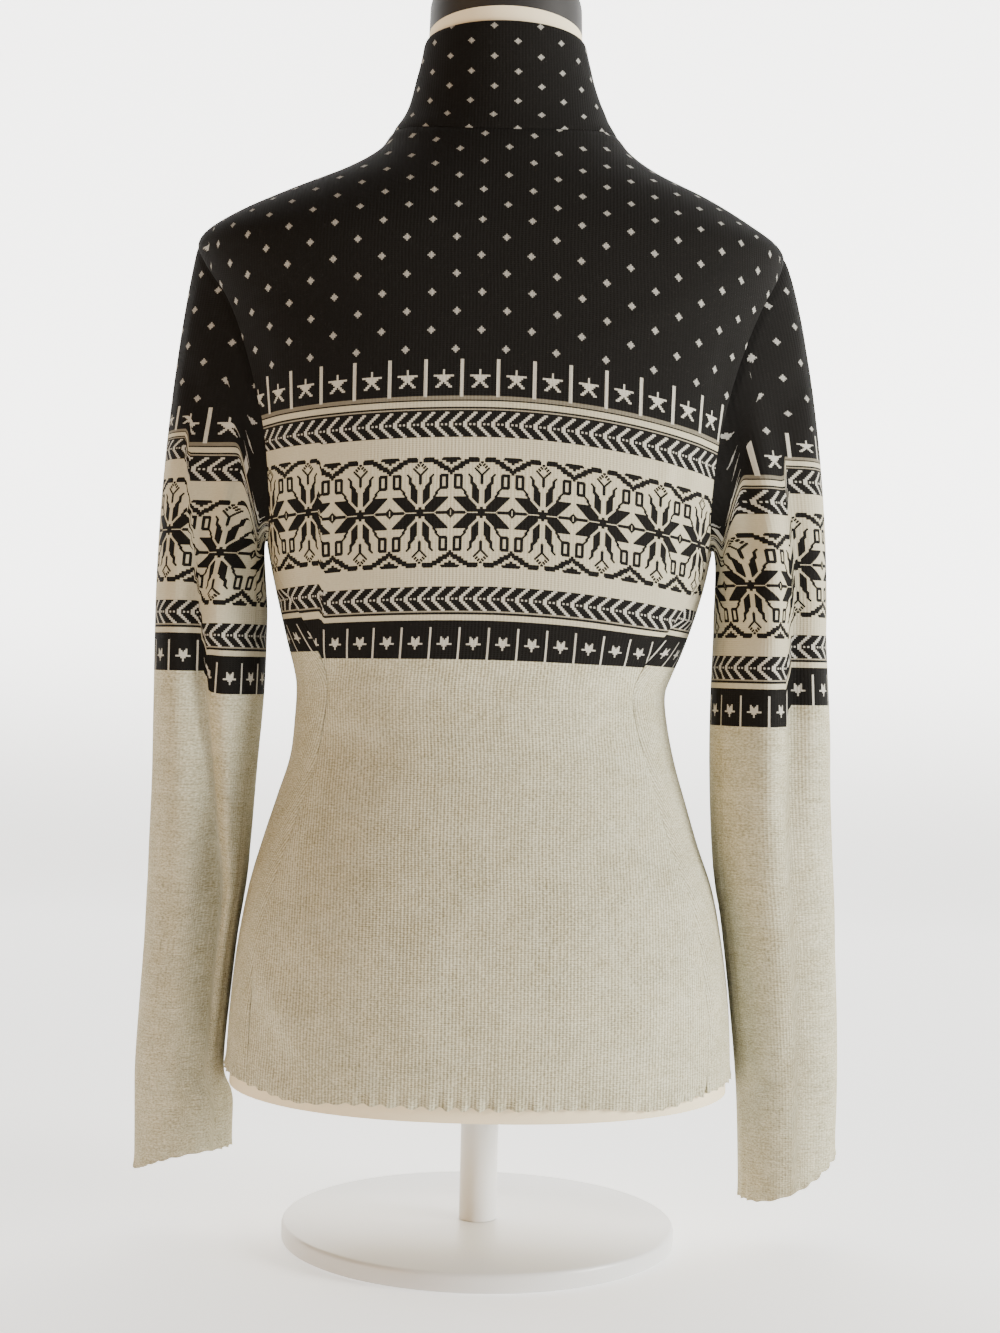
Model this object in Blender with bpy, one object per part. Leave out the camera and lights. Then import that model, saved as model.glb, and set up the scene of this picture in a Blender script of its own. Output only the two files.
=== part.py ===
"""Fair isle knit jacket with a funnel collar, worn by a limbless dress form on a stand.

Sizes are in millimetres and become metres when a mesh is made. +Z is up, +Y is
the wearer's front and +X the wearer's right. The origin is under the base plate.
Every piece of cloth lies on one surface, the torso's skin. A point of it is given
by a height and by the arc length from the centre back, positive to the right.
"""
import functools
import math

import bmesh
import bpy
import numpy as np
from mathutils import Matrix, Vector

METRE = 0.001
WALL = 1.8                # thickness of the double knit
SEAM_GAP = 0.3            # clearance between pieces that meet at a seam
CAP_CLEARANCE = 1.2       # from the neck cap to the line of the inside of the collar

HEM_HEIGHT = 104.0
UNDERARM_HEIGHT = 440.0
SHOULDER_HEIGHT = 631.0
NECK_HEIGHT = 700.0
COLLAR_HEIGHT = 764.0

ARMHOLE_DEPTH = 39.0      # half of its opening, front to back
ARMHOLE_ROWS = 11
ARMHOLE_BOTTOM_Y = -15.0

BACK_COLUMNS = 18
FRONT_COLUMNS = 11
FORM_COLUMNS = 21

ZIP_EDGE = 3.2            # front edge of the cloth from the centre line
CHAIN_HALF = 2.8
CHAIN_THICK = 2.0
TAPE_INNER = 0.25
TAPE_WIDTH = 14.0
TAPE_THICK = 1.0
TAPE_RECESS = 1.1         # the form's cover gives way behind the zip
RECESS_WIDTH = 17.0
SLIDER_HEIGHT = 744.0
CHAIN_TOP = SLIDER_HEIGHT - 6.5

PLATE_LOW = WALL + SEAM_GAP
PLATE_HIGH = PLATE_LOW + 1.8
PLATE_OUTLINE = ((-2.6, -6.0), (2.6, -6.0), (4.0, -2.0), (4.0, 3.0), (2.4, 5.2), (-2.4, 5.2),
                 (-4.0, 3.0), (-4.0, -2.0))
CORE_HALF = 2.7           # the core runs between the edges of the cloth
CORE_ENDS = (-5.6, 4.6)
CORE_FLOOR = 0.1
SUNK = 0.5                # how far joined solids reach into each other
HINGE_RISE = 1.1          # of the tab's cross bar above the slider's plate
BRIDGE_HALF = 0.9
BRIDGE_SPAN = 2.4
BRIDGE_WIDE = 1.0
BRIDGE_RISE = 2.3
TAB_HALF = 2.5
TAB_LENGTH = 24.0
TAB_BAR = 0.6             # half the bar's thickness, and half the tab's
TAB_WINDOW = (1.3, -5.0)  # half its width and its lower end

BASE_RADIUS = 125.0
BASE_THICK = 12.0
POLE_RADIUS = 12.0
FLANGE_RADIUS = 32.0
FORM_BOTTOM = 95.0
FORM_FLAT = 0.5           # share of the form's lower end that is level
NECK_TOP = 771.0
CAP_TOP = 800.0

# height, half width, depth of back, depth of front, power of the rounding, middle of x
TORSO = np.array((
    (96.0, 159.3, 108.0, 96.0, 2.3, -2.0),
    (150.0, 156.5, 111.0, 97.5, 2.3, -1.8),
    (190.0, 152.0, 109.0, 97.0, 2.3, -2.2),
    (225.0, 145.5, 102.0, 95.0, 2.3, -2.5),
    (254.0, 136.5, 95.0, 93.0, 2.25, -3.5),
    (280.0, 128.5, 89.0, 91.0, 2.2, -3.5),
    (305.0, 121.0, 83.5, 90.0, 2.2, -3.5),
    (331.0, 117.0, 79.5, 88.5, 2.2, -5.0),
    (350.0, 116.0, 78.5, 89.0, 2.2, -5.5),
    (362.0, 119.0, 79.5, 91.0, 2.2, -4.5),
    (375.0, 123.5, 81.5, 94.0, 2.25, -3.5),
    (395.0, 129.5, 84.5, 99.5, 2.3, -2.5),
    (416.0, 135.0, 88.0, 106.0, 2.35, -2.0),
    (440.0, 140.0, 91.5, 112.5, 2.4, -2.0),
    (470.0, 145.0, 95.0, 117.0, 2.45, -2.0),
    (510.0, 151.0, 98.0, 112.0, 2.5, -2.0),
    (550.0, 160.0, 97.5, 103.0, 2.5, -2.0),
    (590.0, 172.0, 93.5, 94.5, 2.45, -2.0),
    (615.0, 183.0, 89.0, 89.5, 2.4, -4.0),
    (631.0, 183.5, 85.0, 86.0, 2.35, -5.5),
    (645.0, 164.5, 80.0, 82.0, 2.3, -5.0),
    (660.0, 135.5, 74.5, 77.0, 2.2, -1.5),
    (675.0, 101.0, 68.0, 72.0, 2.15, 1.0),
    (688.0, 80.5, 62.5, 69.0, 2.1, 2.5),
    (700.0, 71.5, 57.0, 66.0, 2.05, 2.0),
    (713.0, 63.5, 51.5, 63.0, 2.0, 2.0),
    (730.0, 57.5, 47.5, 61.0, 2.0, 2.0),
    (747.0, 53.5, 45.0, 60.0, 2.0, 1.5),
    (764.0, 50.5, 43.5, 59.5, 2.0, 1.0),
    (812.0, 50.0, 43.0, 59.0, 2.0, 1.0),
))

# nominal height, height at the sides, half the drop from back to front, drop at both
TILT = np.array((
    (0.0, 4.5, 0.0, 4.5),
    (HEM_HEIGHT, HEM_HEIGHT + 4.5, 0.0, 4.5),
    (200.0, 200.0, 0.0, 0.0),
    (SHOULDER_HEIGHT, SHOULDER_HEIGHT, 0.0, 0.0),
    (NECK_HEIGHT, 701.0, 5.0, 12.0),
    (COLLAR_HEIGHT, 760.0, 6.0, 1.0),
    (NECK_TOP, 767.0, 8.0, 0.0),
    (CAP_TOP, 796.0, 8.0, 0.0),
    (900.0, 896.0, 8.0, 0.0),
))

# height, gap between the form's cover and the inside of the cloth
CLEARANCE = np.array((
    (96.0, 1.4),
    (300.0, 1.25),
    (570.0, 1.3),
    (605.0, 2.2),
    (650.0, 2.2),
    (685.0, 1.5),
    (COLLAR_HEIGHT, CAP_CLEARANCE),
))

# height, y of the side seam
SIDE_SEAM = np.array((
    (96.0, -60.0),
    (225.0, -57.0),
    (305.0, -50.0),
    (375.0, -50.0),
    (398.0, -44.0),
    (420.0, -30.0),
    (440.0, ARMHOLE_BOTTOM_Y),
))

# height, inner edge, outer edge, half depth, middle of y
SLEEVE = np.array((
    (20.0, 160.5, 224.5, 26.0, 2.0),
    (70.0, 160.0, 225.0, 26.5, 1.5),
    (104.0, 159.0, 225.0, 28.0, 0.5),
    (150.0, 156.5, 224.0, 31.0, -1.0),
    (190.0, 154.0, 222.5, 34.0, -2.0),
    (215.0, 152.0, 221.5, 36.0, -3.0),
    (241.0, 149.0, 220.0, 38.0, -4.0),
    (290.0, 145.0, 218.0, 41.0, -5.0),
    (343.0, 143.0, 216.5, 43.0, -6.0),
    (390.0, 142.5, 215.0, 45.0, -7.0),
    (450.0, 142.5, 213.0, 46.0, -7.0),
))

# height, how far in from that the inner and the outer edge hang, turn and depth of the crease
HANG = {
    "left": np.array((
        (20.0, -1.1, 4.5, 2.3, 0.0),
        (72.0, -1.6, 4.0, 2.3, 0.5),
        (86.0, -0.5, 3.8, 2.3, 1.2),
        (100.0, 5.0, 3.6, 2.3, 2.0),
        (114.0, 6.0, 3.8, 2.3, 3.0),
        (150.0, 5.0, 5.0, 2.28, 5.0),
        (190.0, 3.4, 6.0, 2.25, 7.5),
        (221.0, 1.4, 6.2, 2.18, 9.0),
        (250.0, 2.0, 5.6, 2.02, 10.0),
        (295.0, 2.5, 5.0, 1.84, 10.5),
        (347.0, 0.5, 3.0, 1.65, 10.5),
        (397.0, 0.0, 1.5, 1.5, 9.5),
        (450.0, 0.0, 0.0, 1.2, 7.0),
        (500.0, 0.0, 0.0, 0.95, 4.0),
    )),
    "right": np.array((
        (20.0, 6.0, -3.0, 1.5, 0.0),
        (50.0, 6.0, -3.0, 1.5, 0.0),
        (112.0, 3.7, -3.0, 1.5, 0.5),
        (158.0, 1.2, -2.4, 1.45, 1.0),
        (190.0, -0.8, -1.9, 1.45, 1.5),
        (211.0, -2.2, -1.6, 1.44, 2.0),
        (227.0, -3.6, -1.4, 1.42, 2.5),
        (251.0, -3.9, -0.8, 1.4, 3.5),
        (290.0, -3.2, 0.0, 1.38, 6.0),
        (327.0, -2.6, 0.0, 1.36, 9.0),
        (380.0, -1.0, 1.6, 1.32, 10.0),
        (421.0, 0.0, 2.6, 1.24, 8.5),
        (450.0, 0.0, 3.0, 1.24, 7.0),
        (486.0, 0.0, 3.0, 1.26, 4.0),
    )),
}

SLEEVE_ROWS = (343.0, 290.0, 241.0, 215.0, 190.0, 150.0, 112.0, 96.0, 76.0)
SLEEVE_HEAD = 390.0       # the cap's curves end here, and the straight sleeve starts
CAP_STEPS = (0.0, 0.05, 0.11, 0.19, 0.3, 0.45, 0.62, 0.8, 1.0)
CREASE_WIDTH = 0.36       # of the lengthwise crease, in turns of the ring, radians

# how the cap leaves the armhole: turn from the top, along the body, outwards, up at the end, drift
CAP_HANDLES = np.array((
    (0.0, 18.0, 0.0, 120.0, 0.0),
    (45.0, 11.0, 12.0, 98.0, 0.0),
    (90.0, 4.0, 17.0, 66.0, 0.0),
    (135.0, 4.0, 12.0, 36.0, 0.5),
    (180.0, 7.0, 5.0, 18.0, -1.0),
))

# how much further out than that the top of each cap starts
CAP_BULGE = {"left": -3.0, "right": 1.5}

# side of x, mean height of the cuff, how far its outer edge and its back lie above that
CUFFS = {
    "left": (-1, 47.5, -7.5, 4.5),
    "right": (1, 44.0, 14.0, -7.0),
}

LOWER_ROWS = (HEM_HEIGHT, 145.0, 190.0, 225.0, 254.0, 280.0, 305.0, 331.0, 350.0, 362.0,
              375.0, 395.0, 416.0)
SHOULDER_ROWS = (645.0, 660.0, 675.0, 688.0, NECK_HEIGHT)
COLLAR_ROWS = (NECK_HEIGHT + SEAM_GAP, 713.0, 730.0, 747.0, COLLAR_HEIGHT)
RING_SAMPLES = 361

COLOURS = {
    "fair_isle_knit": ((0.50, 0.45, 0.36), 0.9, 0.0),
    "form_jersey": ((0.82, 0.72, 0.50), 0.85, 0.0),
    "cap_lacquer": ((0.015, 0.015, 0.015), 0.6, 0.0),
    "zip_tape": ((0.03, 0.03, 0.03), 0.85, 0.0),
    "zip_metal": ((0.45, 0.43, 0.40), 0.35, 1.0),
    "stand_metal": ((0.70, 0.70, 0.69), 0.35, 0.0),
}


def read_table(table, height):
    """Values of a table at a height, on a smooth curve through its rows."""
    heights = table[:, 0]
    last = len(heights) - 1
    row = int(np.clip(np.searchsorted(heights, height) - 1, 0, last - 1))
    step = heights[row + 1] - heights[row]
    t = float(np.clip((height - heights[row]) / step, 0.0, 1.0))

    def slope(at):
        before, after = max(at - 1, 0), min(at + 1, last)
        return (table[after, 1:] - table[before, 1:]) / (heights[after] - heights[before])

    start, end = table[row, 1:], table[row + 1, 1:]
    return ((2 * t**3 - 3 * t**2 + 1) * start + (t**3 - 2 * t**2 + t) * step * slope(row)
            + (3 * t**2 - 2 * t**3) * end + (t**3 - t**2) * step * slope(row + 1))


def read_straight(table, height):
    """Values of a table at a height, on straight lines between its rows."""
    return [float(np.interp(height, table[:, 0], table[:, k])) for k in range(1, table.shape[1])]


@functools.lru_cache(maxsize=None)
def half_ring(height):
    """Right half of the torso's section: its x, y and arc length from the centre back."""
    half_width, back, front, power, x_mid = read_table(TORSO, height)
    angle = np.linspace(-math.pi / 2, math.pi / 2, RING_SAMPLES)
    x = half_width * np.abs(np.cos(angle)) ** (2.0 / power)
    level = np.sign(np.sin(angle)) * np.abs(np.sin(angle)) ** (2.0 / power)
    y = np.where(level < 0.0, back, front) * level
    arc = np.concatenate(([0.0], np.cumsum(np.hypot(np.diff(x), np.diff(y)))))
    return x_mid, x, y, level, arc


def half_length(height):
    return half_ring(height)[4][-1]


def ridge_arc(height):
    """Arc length from the centre back to the side, where the shoulder seam runs."""
    _, _, y, _, arc = half_ring(height)
    return float(np.interp(0.0, y, arc))


def arc_at_y(height, y_value):
    _, _, y, _, arc = half_ring(height)
    return float(np.interp(y_value, y, arc))


def skin_point(height, arc_value):
    x_mid, x, y, level, arc = half_ring(height)
    side = 1.0 if arc_value >= 0.0 else -1.0
    along = abs(arc_value)
    if along > arc[-1]:
        along = 2.0 * arc[-1] - along
        side = -side
    depth = float(np.interp(along, arc, level))
    mid, tilt, drop = read_straight(TILT, height)
    return np.array((
        x_mid + side * float(np.interp(along, arc, x)),
        float(np.interp(along, arc, y)),
        mid - tilt * depth - drop * depth * depth,
    ))


def skin_normal(height, arc_value):
    """Outward direction of the skin."""
    delta = 1.5
    share = arc_value / half_length(height)
    across = skin_point(height, arc_value + delta) - skin_point(height, arc_value - delta)
    above, below = height + delta, height - delta
    up = (skin_point(above, share * half_length(above))
          - skin_point(below, share * half_length(below)))
    normal = np.cross(across, up)
    return normal / np.linalg.norm(normal)


def skin(height, arc_value, offset=0.0):
    point = skin_point(height, arc_value)
    if offset:
        point = point + offset * skin_normal(height, arc_value)
    return point


def material(name):
    made = bpy.data.materials.get(name)
    if made is None:
        colour, roughness, metallic = COLOURS[name]
        made = bpy.data.materials.new(name)
        made.use_nodes = True
        shader = made.node_tree.nodes["Principled BSDF"]
        shader.inputs["Base Color"].default_value = (*colour, 1.0)
        shader.inputs["Roughness"].default_value = roughness
        shader.inputs["Metallic"].default_value = metallic
    return made


def add_object(name, mesh_data, finish):
    """Turn a bmesh in millimetres into an object with its faces pointing out."""
    bmesh.ops.triangulate(mesh_data, faces=mesh_data.faces)
    bmesh.ops.recalc_face_normals(mesh_data, faces=mesh_data.faces)
    bmesh.ops.scale(mesh_data, vec=Vector((METRE, METRE, METRE)), verts=mesh_data.verts)
    mesh = bpy.data.meshes.new(name)
    mesh_data.to_mesh(mesh)
    mesh_data.free()
    mesh.materials.append(material(finish))
    mesh.shade_smooth()
    mesh.set_sharp_from_angle(angle=math.radians(40))
    made = bpy.data.objects.new(name, mesh)
    bpy.context.collection.objects.link(made)
    return made


def add_wall(name, inner, outer, finish, around=False):
    """A closed wall between two grids of points with the same rows and columns."""
    data = bmesh.new()
    layers = [[[data.verts.new(Vector(p)) for p in row] for row in grid] for grid in (inner, outer)]
    rows, columns = len(inner), len(inner[0])
    steps = columns if around else columns - 1
    for grid in layers:
        for i in range(rows - 1):
            for j in range(steps):
                k = (j + 1) % columns
                data.faces.new((grid[i][j], grid[i][k], grid[i + 1][k], grid[i + 1][j]))
    inside, outside = layers
    for i in (0, rows - 1):
        for j in range(steps):
            k = (j + 1) % columns
            data.faces.new((inside[i][j], inside[i][k], outside[i][k], outside[i][j]))
    if not around:
        for j in (0, columns - 1):
            for i in range(rows - 1):
                data.faces.new((inside[i][j], inside[i + 1][j], outside[i + 1][j], outside[i][j]))
    return add_object(name, data, finish)


def add_stack(name, rings, finish):
    """A solid through rings of points, closed by a face at each end."""
    data = bmesh.new()
    levels = [[data.verts.new(Vector(p)) for p in ring] for ring in rings]
    count = len(rings[0])
    for low, high in zip(levels, levels[1:]):
        for j in range(count):
            k = (j + 1) % count
            data.faces.new((low[j], low[k], high[k], high[j]))
    data.faces.new(levels[0])
    data.faces.new(levels[-1])
    return add_object(name, data, finish)


def armhole_height(step):
    """Height of an armhole row, 0 at the underarm and ARMHOLE_ROWS at the shoulder."""
    middle = (UNDERARM_HEIGHT + SHOULDER_HEIGHT) / 2
    radius = (SHOULDER_HEIGHT - UNDERARM_HEIGHT) / 2
    return middle - radius * math.cos(math.pi * step / ARMHOLE_ROWS)


def armhole_y(height, face):
    """y of the armhole's edge on the back, face -1, or on the front, face +1."""
    middle = (UNDERARM_HEIGHT + SHOULDER_HEIGHT) / 2
    radius = (SHOULDER_HEIGHT - UNDERARM_HEIGHT) / 2
    rise = np.clip((height - middle) / radius, -1.0, 1.0)
    centre = ARMHOLE_BOTTOM_Y * (1.0 - rise) / 2
    return centre + face * ARMHOLE_DEPTH * math.sqrt(1.0 - rise * rise)


def panel_edge(height, face):
    """Arc length at which a panel ends: the side seam, the armhole or the shoulder seam."""
    if height <= UNDERARM_HEIGHT:
        edge = arc_at_y(height, float(read_table(SIDE_SEAM, height)[0]))
    elif height < SHOULDER_HEIGHT:
        edge = arc_at_y(height, armhole_y(height, face))
    else:
        edge = ridge_arc(height)
    return edge + face * SEAM_GAP / 2


def panel_rows():
    arm = [armhole_height(step) for step in range(ARMHOLE_ROWS + 1)]
    return [*LOWER_ROWS, *arm, *SHOULDER_ROWS]


def back_arcs(height):
    edge = panel_edge(height, -1)
    return [edge * (2.0 * j / BACK_COLUMNS - 1.0) for j in range(BACK_COLUMNS + 1)]


def front_arcs(height):
    """From the side to the zip, with one column's edge over the edge of the zip tape."""
    edge = panel_edge(height, 1)
    tape = half_length(height) - TAPE_WIDTH
    arcs = [edge + (tape - edge) * j / FRONT_COLUMNS for j in range(FRONT_COLUMNS + 1)]
    return [*arcs, half_length(height) - ZIP_EDGE]


def cloth_grid(rows, arcs_at, offset, side=1.0):
    return [[skin(height, side * arc, offset) for arc in arcs_at(height)] for height in rows]


def make_back():
    rows = panel_rows()
    add_wall("back", cloth_grid(rows, back_arcs, 0.0), cloth_grid(rows, back_arcs, WALL),
             "fair_isle_knit")


def make_front(side_name):
    side = CUFFS[side_name][0]
    rows = panel_rows()
    add_wall(f"front_{side_name}", cloth_grid(rows, front_arcs, 0.0, side),
             cloth_grid(rows, front_arcs, WALL, side), "fair_isle_knit")


def collar_arcs(height):
    """The panels' own columns at the neck seam, carried up the collar."""
    at_seam = back_arcs(NECK_HEIGHT)[BACK_COLUMNS // 2:] + front_arcs(NECK_HEIGHT)
    share = (half_length(height) - ZIP_EDGE) / (half_length(NECK_HEIGHT) - ZIP_EDGE)
    right = [arc * share for arc in at_seam]
    return [-arc for arc in reversed(right)] + right[1:]


def make_collar():
    add_wall("collar", cloth_grid(COLLAR_ROWS, collar_arcs, 0.0),
             cloth_grid(COLLAR_ROWS, collar_arcs, WALL), "fair_isle_knit")


def armhole_point(side, turn):
    """A point of the armhole's edge, with the skin's normal there. Turn 0 is the shoulder."""
    middle = (UNDERARM_HEIGHT + SHOULDER_HEIGHT) / 2
    radius = (SHOULDER_HEIGHT - UNDERARM_HEIGHT) / 2
    height = middle + radius * math.cos(turn)
    centre = ARMHOLE_BOTTOM_Y * (1.0 - math.cos(turn)) / 2
    arc = side * arc_at_y(height, centre - ARMHOLE_DEPTH * math.sin(turn))
    return skin(height, arc), skin_normal(height, arc)


def armhole_inward(side, turn, normal):
    """Direction in the skin that points from the panel into the armhole."""
    delta = 0.02
    before, after = armhole_point(side, turn - delta)[0], armhole_point(side, turn + delta)[0]
    inward = np.cross(normal, after - before)
    inward /= np.linalg.norm(inward)
    centre = armhole_point(side, turn + math.pi)[0] if turn <= 0.0 else armhole_point(
        side, turn - math.pi)[0]
    here = armhole_point(side, turn)[0]
    return inward if np.dot(inward, centre - here) > 0.0 else -inward


def sleeve_ring(side_name, height, turn):
    """Middle of the sleeve's wall. Turn 0 is its outer edge and pi / 2 its back."""
    side = CUFFS[side_name][0]
    inner_x, outer_x, half_depth, y_mid = read_table(SLEEVE, height)
    inner_in, outer_in, crease_turn, crease = read_table(HANG[side_name], height)
    inner_x += inner_in
    outer_x -= outer_in
    half_x = (outer_x - inner_x - WALL) / 2
    x = (inner_x + outer_x) / 2 + half_x * math.cos(turn)
    y = y_mid - (half_depth - WALL / 2) * math.sin(turn)
    pinch = crease * math.exp(-((abs(turn) - crease_turn) / CREASE_WIDTH) ** 2)
    y += math.copysign(pinch, turn) if abs(turn) > 1e-6 else 0.0
    return np.array((side * x, y, height))


def cap_point(side_name, turn, t):
    """A curve from the armhole's edge, over the seam and down into the straight sleeve."""
    side = CUFFS[side_name][0]
    edge, normal = armhole_point(side, turn)
    inward = armhole_inward(side, turn, normal)
    along, outward, rise, drift = read_straight(CAP_HANDLES, math.degrees(abs(turn)))
    outward += CAP_BULGE[side_name] * max(math.cos(turn), 0.0)
    start = edge + normal * WALL / 2 + inward * SEAM_GAP
    end = sleeve_ring(side_name, SLEEVE_HEAD, turn)
    out = np.array((side, 0.0, 0.0))
    first = start + inward * along + out * outward
    second = end + np.array((0.0, 0.0, rise)) + out * drift
    return ((1 - t)**3 * start + 3 * t * (1 - t)**2 * first
            + 3 * t * t * (1 - t) * second + t**3 * end)


def grid_normals(grid, toward):
    """Unit normals of a ring grid, pointing the way that toward says for its first point."""
    rows, columns = len(grid), len(grid[0])
    normals = []
    for i in range(rows):
        up, down = grid[min(i + 1, rows - 1)], grid[max(i - 1, 0)]
        line = []
        for j in range(columns):
            around = grid[i][(j + 1) % columns] - grid[i][j - 1]
            normal = np.cross(around, up[j] - down[j])
            line.append(normal / np.linalg.norm(normal))
        normals.append(line)
    sign = 1.0 if np.dot(normals[-1][0], toward) > 0.0 else -1.0
    return [[sign * normal for normal in line] for line in normals]


def make_sleeve(side_name):
    side, cuff_height, outer_rise, back_rise = CUFFS[side_name]
    turns = [math.pi * (1.0 - j / ARMHOLE_ROWS) for j in range(2 * ARMHOLE_ROWS)]
    middle = [[cap_point(side_name, turn, t) for turn in turns] for t in CAP_STEPS]
    middle += [[sleeve_ring(side_name, height, turn) for turn in turns] for height in SLEEVE_ROWS]
    cuff = []
    for turn in turns:
        point = sleeve_ring(side_name, cuff_height, turn)
        point[2] += outer_rise * math.cos(turn) + back_rise * math.sin(turn) ** 2
        cuff.append(point)
    middle.append(cuff)
    outer_edge = ARMHOLE_ROWS
    order = [row[outer_edge:] + row[:outer_edge] for row in middle]
    order_turns = turns[outer_edge:] + turns[:outer_edge]
    normals = grid_normals(order, np.array((side, 0.0, 0.0)))
    for j, turn in enumerate(order_turns):
        normals[0][j] = armhole_point(side, turn)[1]
    inner = [[p - n * WALL / 2 for p, n in zip(*pair)] for pair in zip(order, normals)]
    outer = [[p + n * WALL / 2 for p, n in zip(*pair)] for pair in zip(order, normals)]
    add_wall(f"sleeve_{side_name}", inner, outer, "fair_isle_knit", around=True)


def form_arcs(height):
    """Columns of the form on the right half, the last two beside the zip's recess."""
    recess = half_length(height) - RECESS_WIDTH
    return [recess * j / FORM_COLUMNS for j in range(FORM_COLUMNS + 1)] + [half_length(height)]


def form_ring(height, extra=0.0):
    right = form_arcs(height)
    deep = len(right) - 2
    inset = extra + read_straight(CLEARANCE, height)[0]
    insets = [inset + (TAPE_RECESS if j >= deep else 0.0) for j in range(len(right))]
    points = [skin(height, arc, -gap) for arc, gap in zip(right, insets)]
    mirrored = [skin(height, -arc, -gap) for arc, gap in zip(right[1:-1], insets[1:-1])]
    return points + mirrored[::-1]


def make_form():
    """A solid form. Its lower edge rises to the sides, and the pole meets a flat middle."""
    arm = [armhole_height(step) for step in (0, 2, 4, 6, 8, 9, 10, ARMHOLE_ROWS)]
    rows = [FORM_BOTTOM, *LOWER_ROWS, *arm, *SHOULDER_ROWS, *COLLAR_ROWS[1:], NECK_TOP]
    flat = [np.array((FORM_FLAT * x, FORM_FLAT * y, FORM_BOTTOM))
            for x, y, _ in form_ring(FORM_BOTTOM)]
    add_stack("form_torso", [flat, *(form_ring(height) for height in rows)], "form_jersey")


def make_cap():
    """The matt lacquered cap on the neck: its side rises straight, then rounds over."""
    inset_at = ((NECK_TOP + SEAM_GAP, 0.0), (788.0, 0.3), (795.0, 3.0), (CAP_TOP, 12.0))
    rings = [form_ring(height, inset) for height, inset in inset_at]
    add_stack("form_neck_cap", rings, "cap_lacquer")


def circle(radius, height, count=32):
    return [(radius * math.cos(2 * math.pi * k / count), radius * math.sin(2 * math.pi * k / count),
             height) for k in range(count)]


def make_stand():
    edge = 2.0
    add_stack("stand_base", [circle(BASE_RADIUS, 0.0), circle(BASE_RADIUS, BASE_THICK - edge),
                             circle(BASE_RADIUS - edge, BASE_THICK)], "stand_metal")
    top = FORM_BOTTOM - SEAM_GAP
    flange = 4.0
    foot = BASE_THICK + SEAM_GAP
    add_stack("stand_pole", [circle(POLE_RADIUS, foot), circle(POLE_RADIUS, top - flange),
                             circle(FLANGE_RADIUS, top - flange + 0.5),
                             circle(FLANGE_RADIUS, top)], "stand_metal")


def strip_arcs(near, far):
    """Two or more columns at set distances from the centre front line."""
    return lambda height: [half_length(height) - far, half_length(height) - near]


def make_zip():
    low, high = -SEAM_GAP - TAPE_THICK, -SEAM_GAP
    rows = [*panel_rows()[:-1], *COLLAR_ROWS]
    for side_name, cuff in CUFFS.items():
        arcs = strip_arcs(TAPE_INNER, TAPE_WIDTH)
        add_wall(f"zip_tape_{side_name}", cloth_grid(rows, arcs, low, cuff[0]),
                 cloth_grid(rows, arcs, high, cuff[0]), "zip_tape")
    chain = strip_arcs(-CHAIN_HALF, CHAIN_HALF)
    rows = [height for height in rows if height < CHAIN_TOP - SUNK] + [CHAIN_TOP]
    add_wall("zip_chain", cloth_grid(rows, chain, 0.0), cloth_grid(rows, chain, CHAIN_THICK),
             "zip_metal")


def slider_frame():
    """Origin on the inside of the collar's front, with x, up along the collar and outwards."""
    height = SLIDER_HEIGHT
    here = skin(height, half_length(height))
    up = skin(height + 4, half_length(height + 4)) - skin(height - 4, half_length(height - 4))
    up[0] = 0.0
    up /= np.linalg.norm(up)
    out = np.cross(up, (1.0, 0.0, 0.0))
    out *= math.copysign(1.0, out[1])
    return here, up, out


def add_slab(name, outline, low, high, finish, window=None):
    """An outline of x and up, made thick outwards, in the slider's frame."""
    origin, up, out = slider_frame()
    data = bmesh.new()

    def loop(points, level):
        return [data.verts.new(Vector(origin + np.array((x, 0.0, 0.0)) + up * y + out * level))
                for x, y in points]

    bottom, top = loop(outline, low), loop(outline, high)
    count = len(outline)
    for j in range(count):
        k = (j + 1) % count
        data.faces.new((bottom[j], bottom[k], top[k], top[j]))
    if window is None:
        data.faces.new(bottom)
        data.faces.new(top)
    else:
        low_hole, high_hole = loop(window, low), loop(window, high)
        for j in range(count):
            k = (j + 1) % count
            data.faces.new((low_hole[j], low_hole[k], high_hole[k], high_hole[j]))
            data.faces.new((bottom[j], bottom[k], low_hole[k], low_hole[j]))
            data.faces.new((top[j], top[k], high_hole[k], high_hole[j]))
    return add_object(name, data, finish)


def box_outline(half_x, low, high):
    return [(-half_x, low), (half_x, low), (half_x, high), (-half_x, high)]


def add_union(target, tool):
    tool.hide_render = True
    tool.display_type = "WIRE"
    union = target.modifiers.new("joined", "BOOLEAN")
    union.operation = "UNION"
    union.object = tool


def make_slider():
    """A plate over the chain, a core between the cloth edges and an arch for the tab."""
    plate = add_slab("zip_slider", PLATE_OUTLINE, PLATE_LOW, PLATE_HIGH, "zip_metal")
    core = add_slab("slider_core", box_outline(CORE_HALF, *CORE_ENDS), CORE_FLOOR,
                    PLATE_LOW + SUNK, "zip_metal")
    far = BRIDGE_SPAN + BRIDGE_WIDE
    foot_floor = PLATE_HIGH - SUNK
    crown = PLATE_HIGH + BRIDGE_RISE
    lower_foot = add_slab("bridge_low", box_outline(BRIDGE_HALF, -far, -BRIDGE_SPAN), foot_floor,
                          crown, "zip_metal")
    upper_foot = add_slab("bridge_high", box_outline(BRIDGE_HALF, BRIDGE_SPAN, far), foot_floor,
                          crown, "zip_metal")
    bar = add_slab("bridge_bar", box_outline(BRIDGE_HALF, -far, far), crown - 0.01,
                   crown + BRIDGE_WIDE, "zip_metal")
    for tool in (core, lower_foot, upper_foot, bar):
        add_union(plate, tool)


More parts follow.
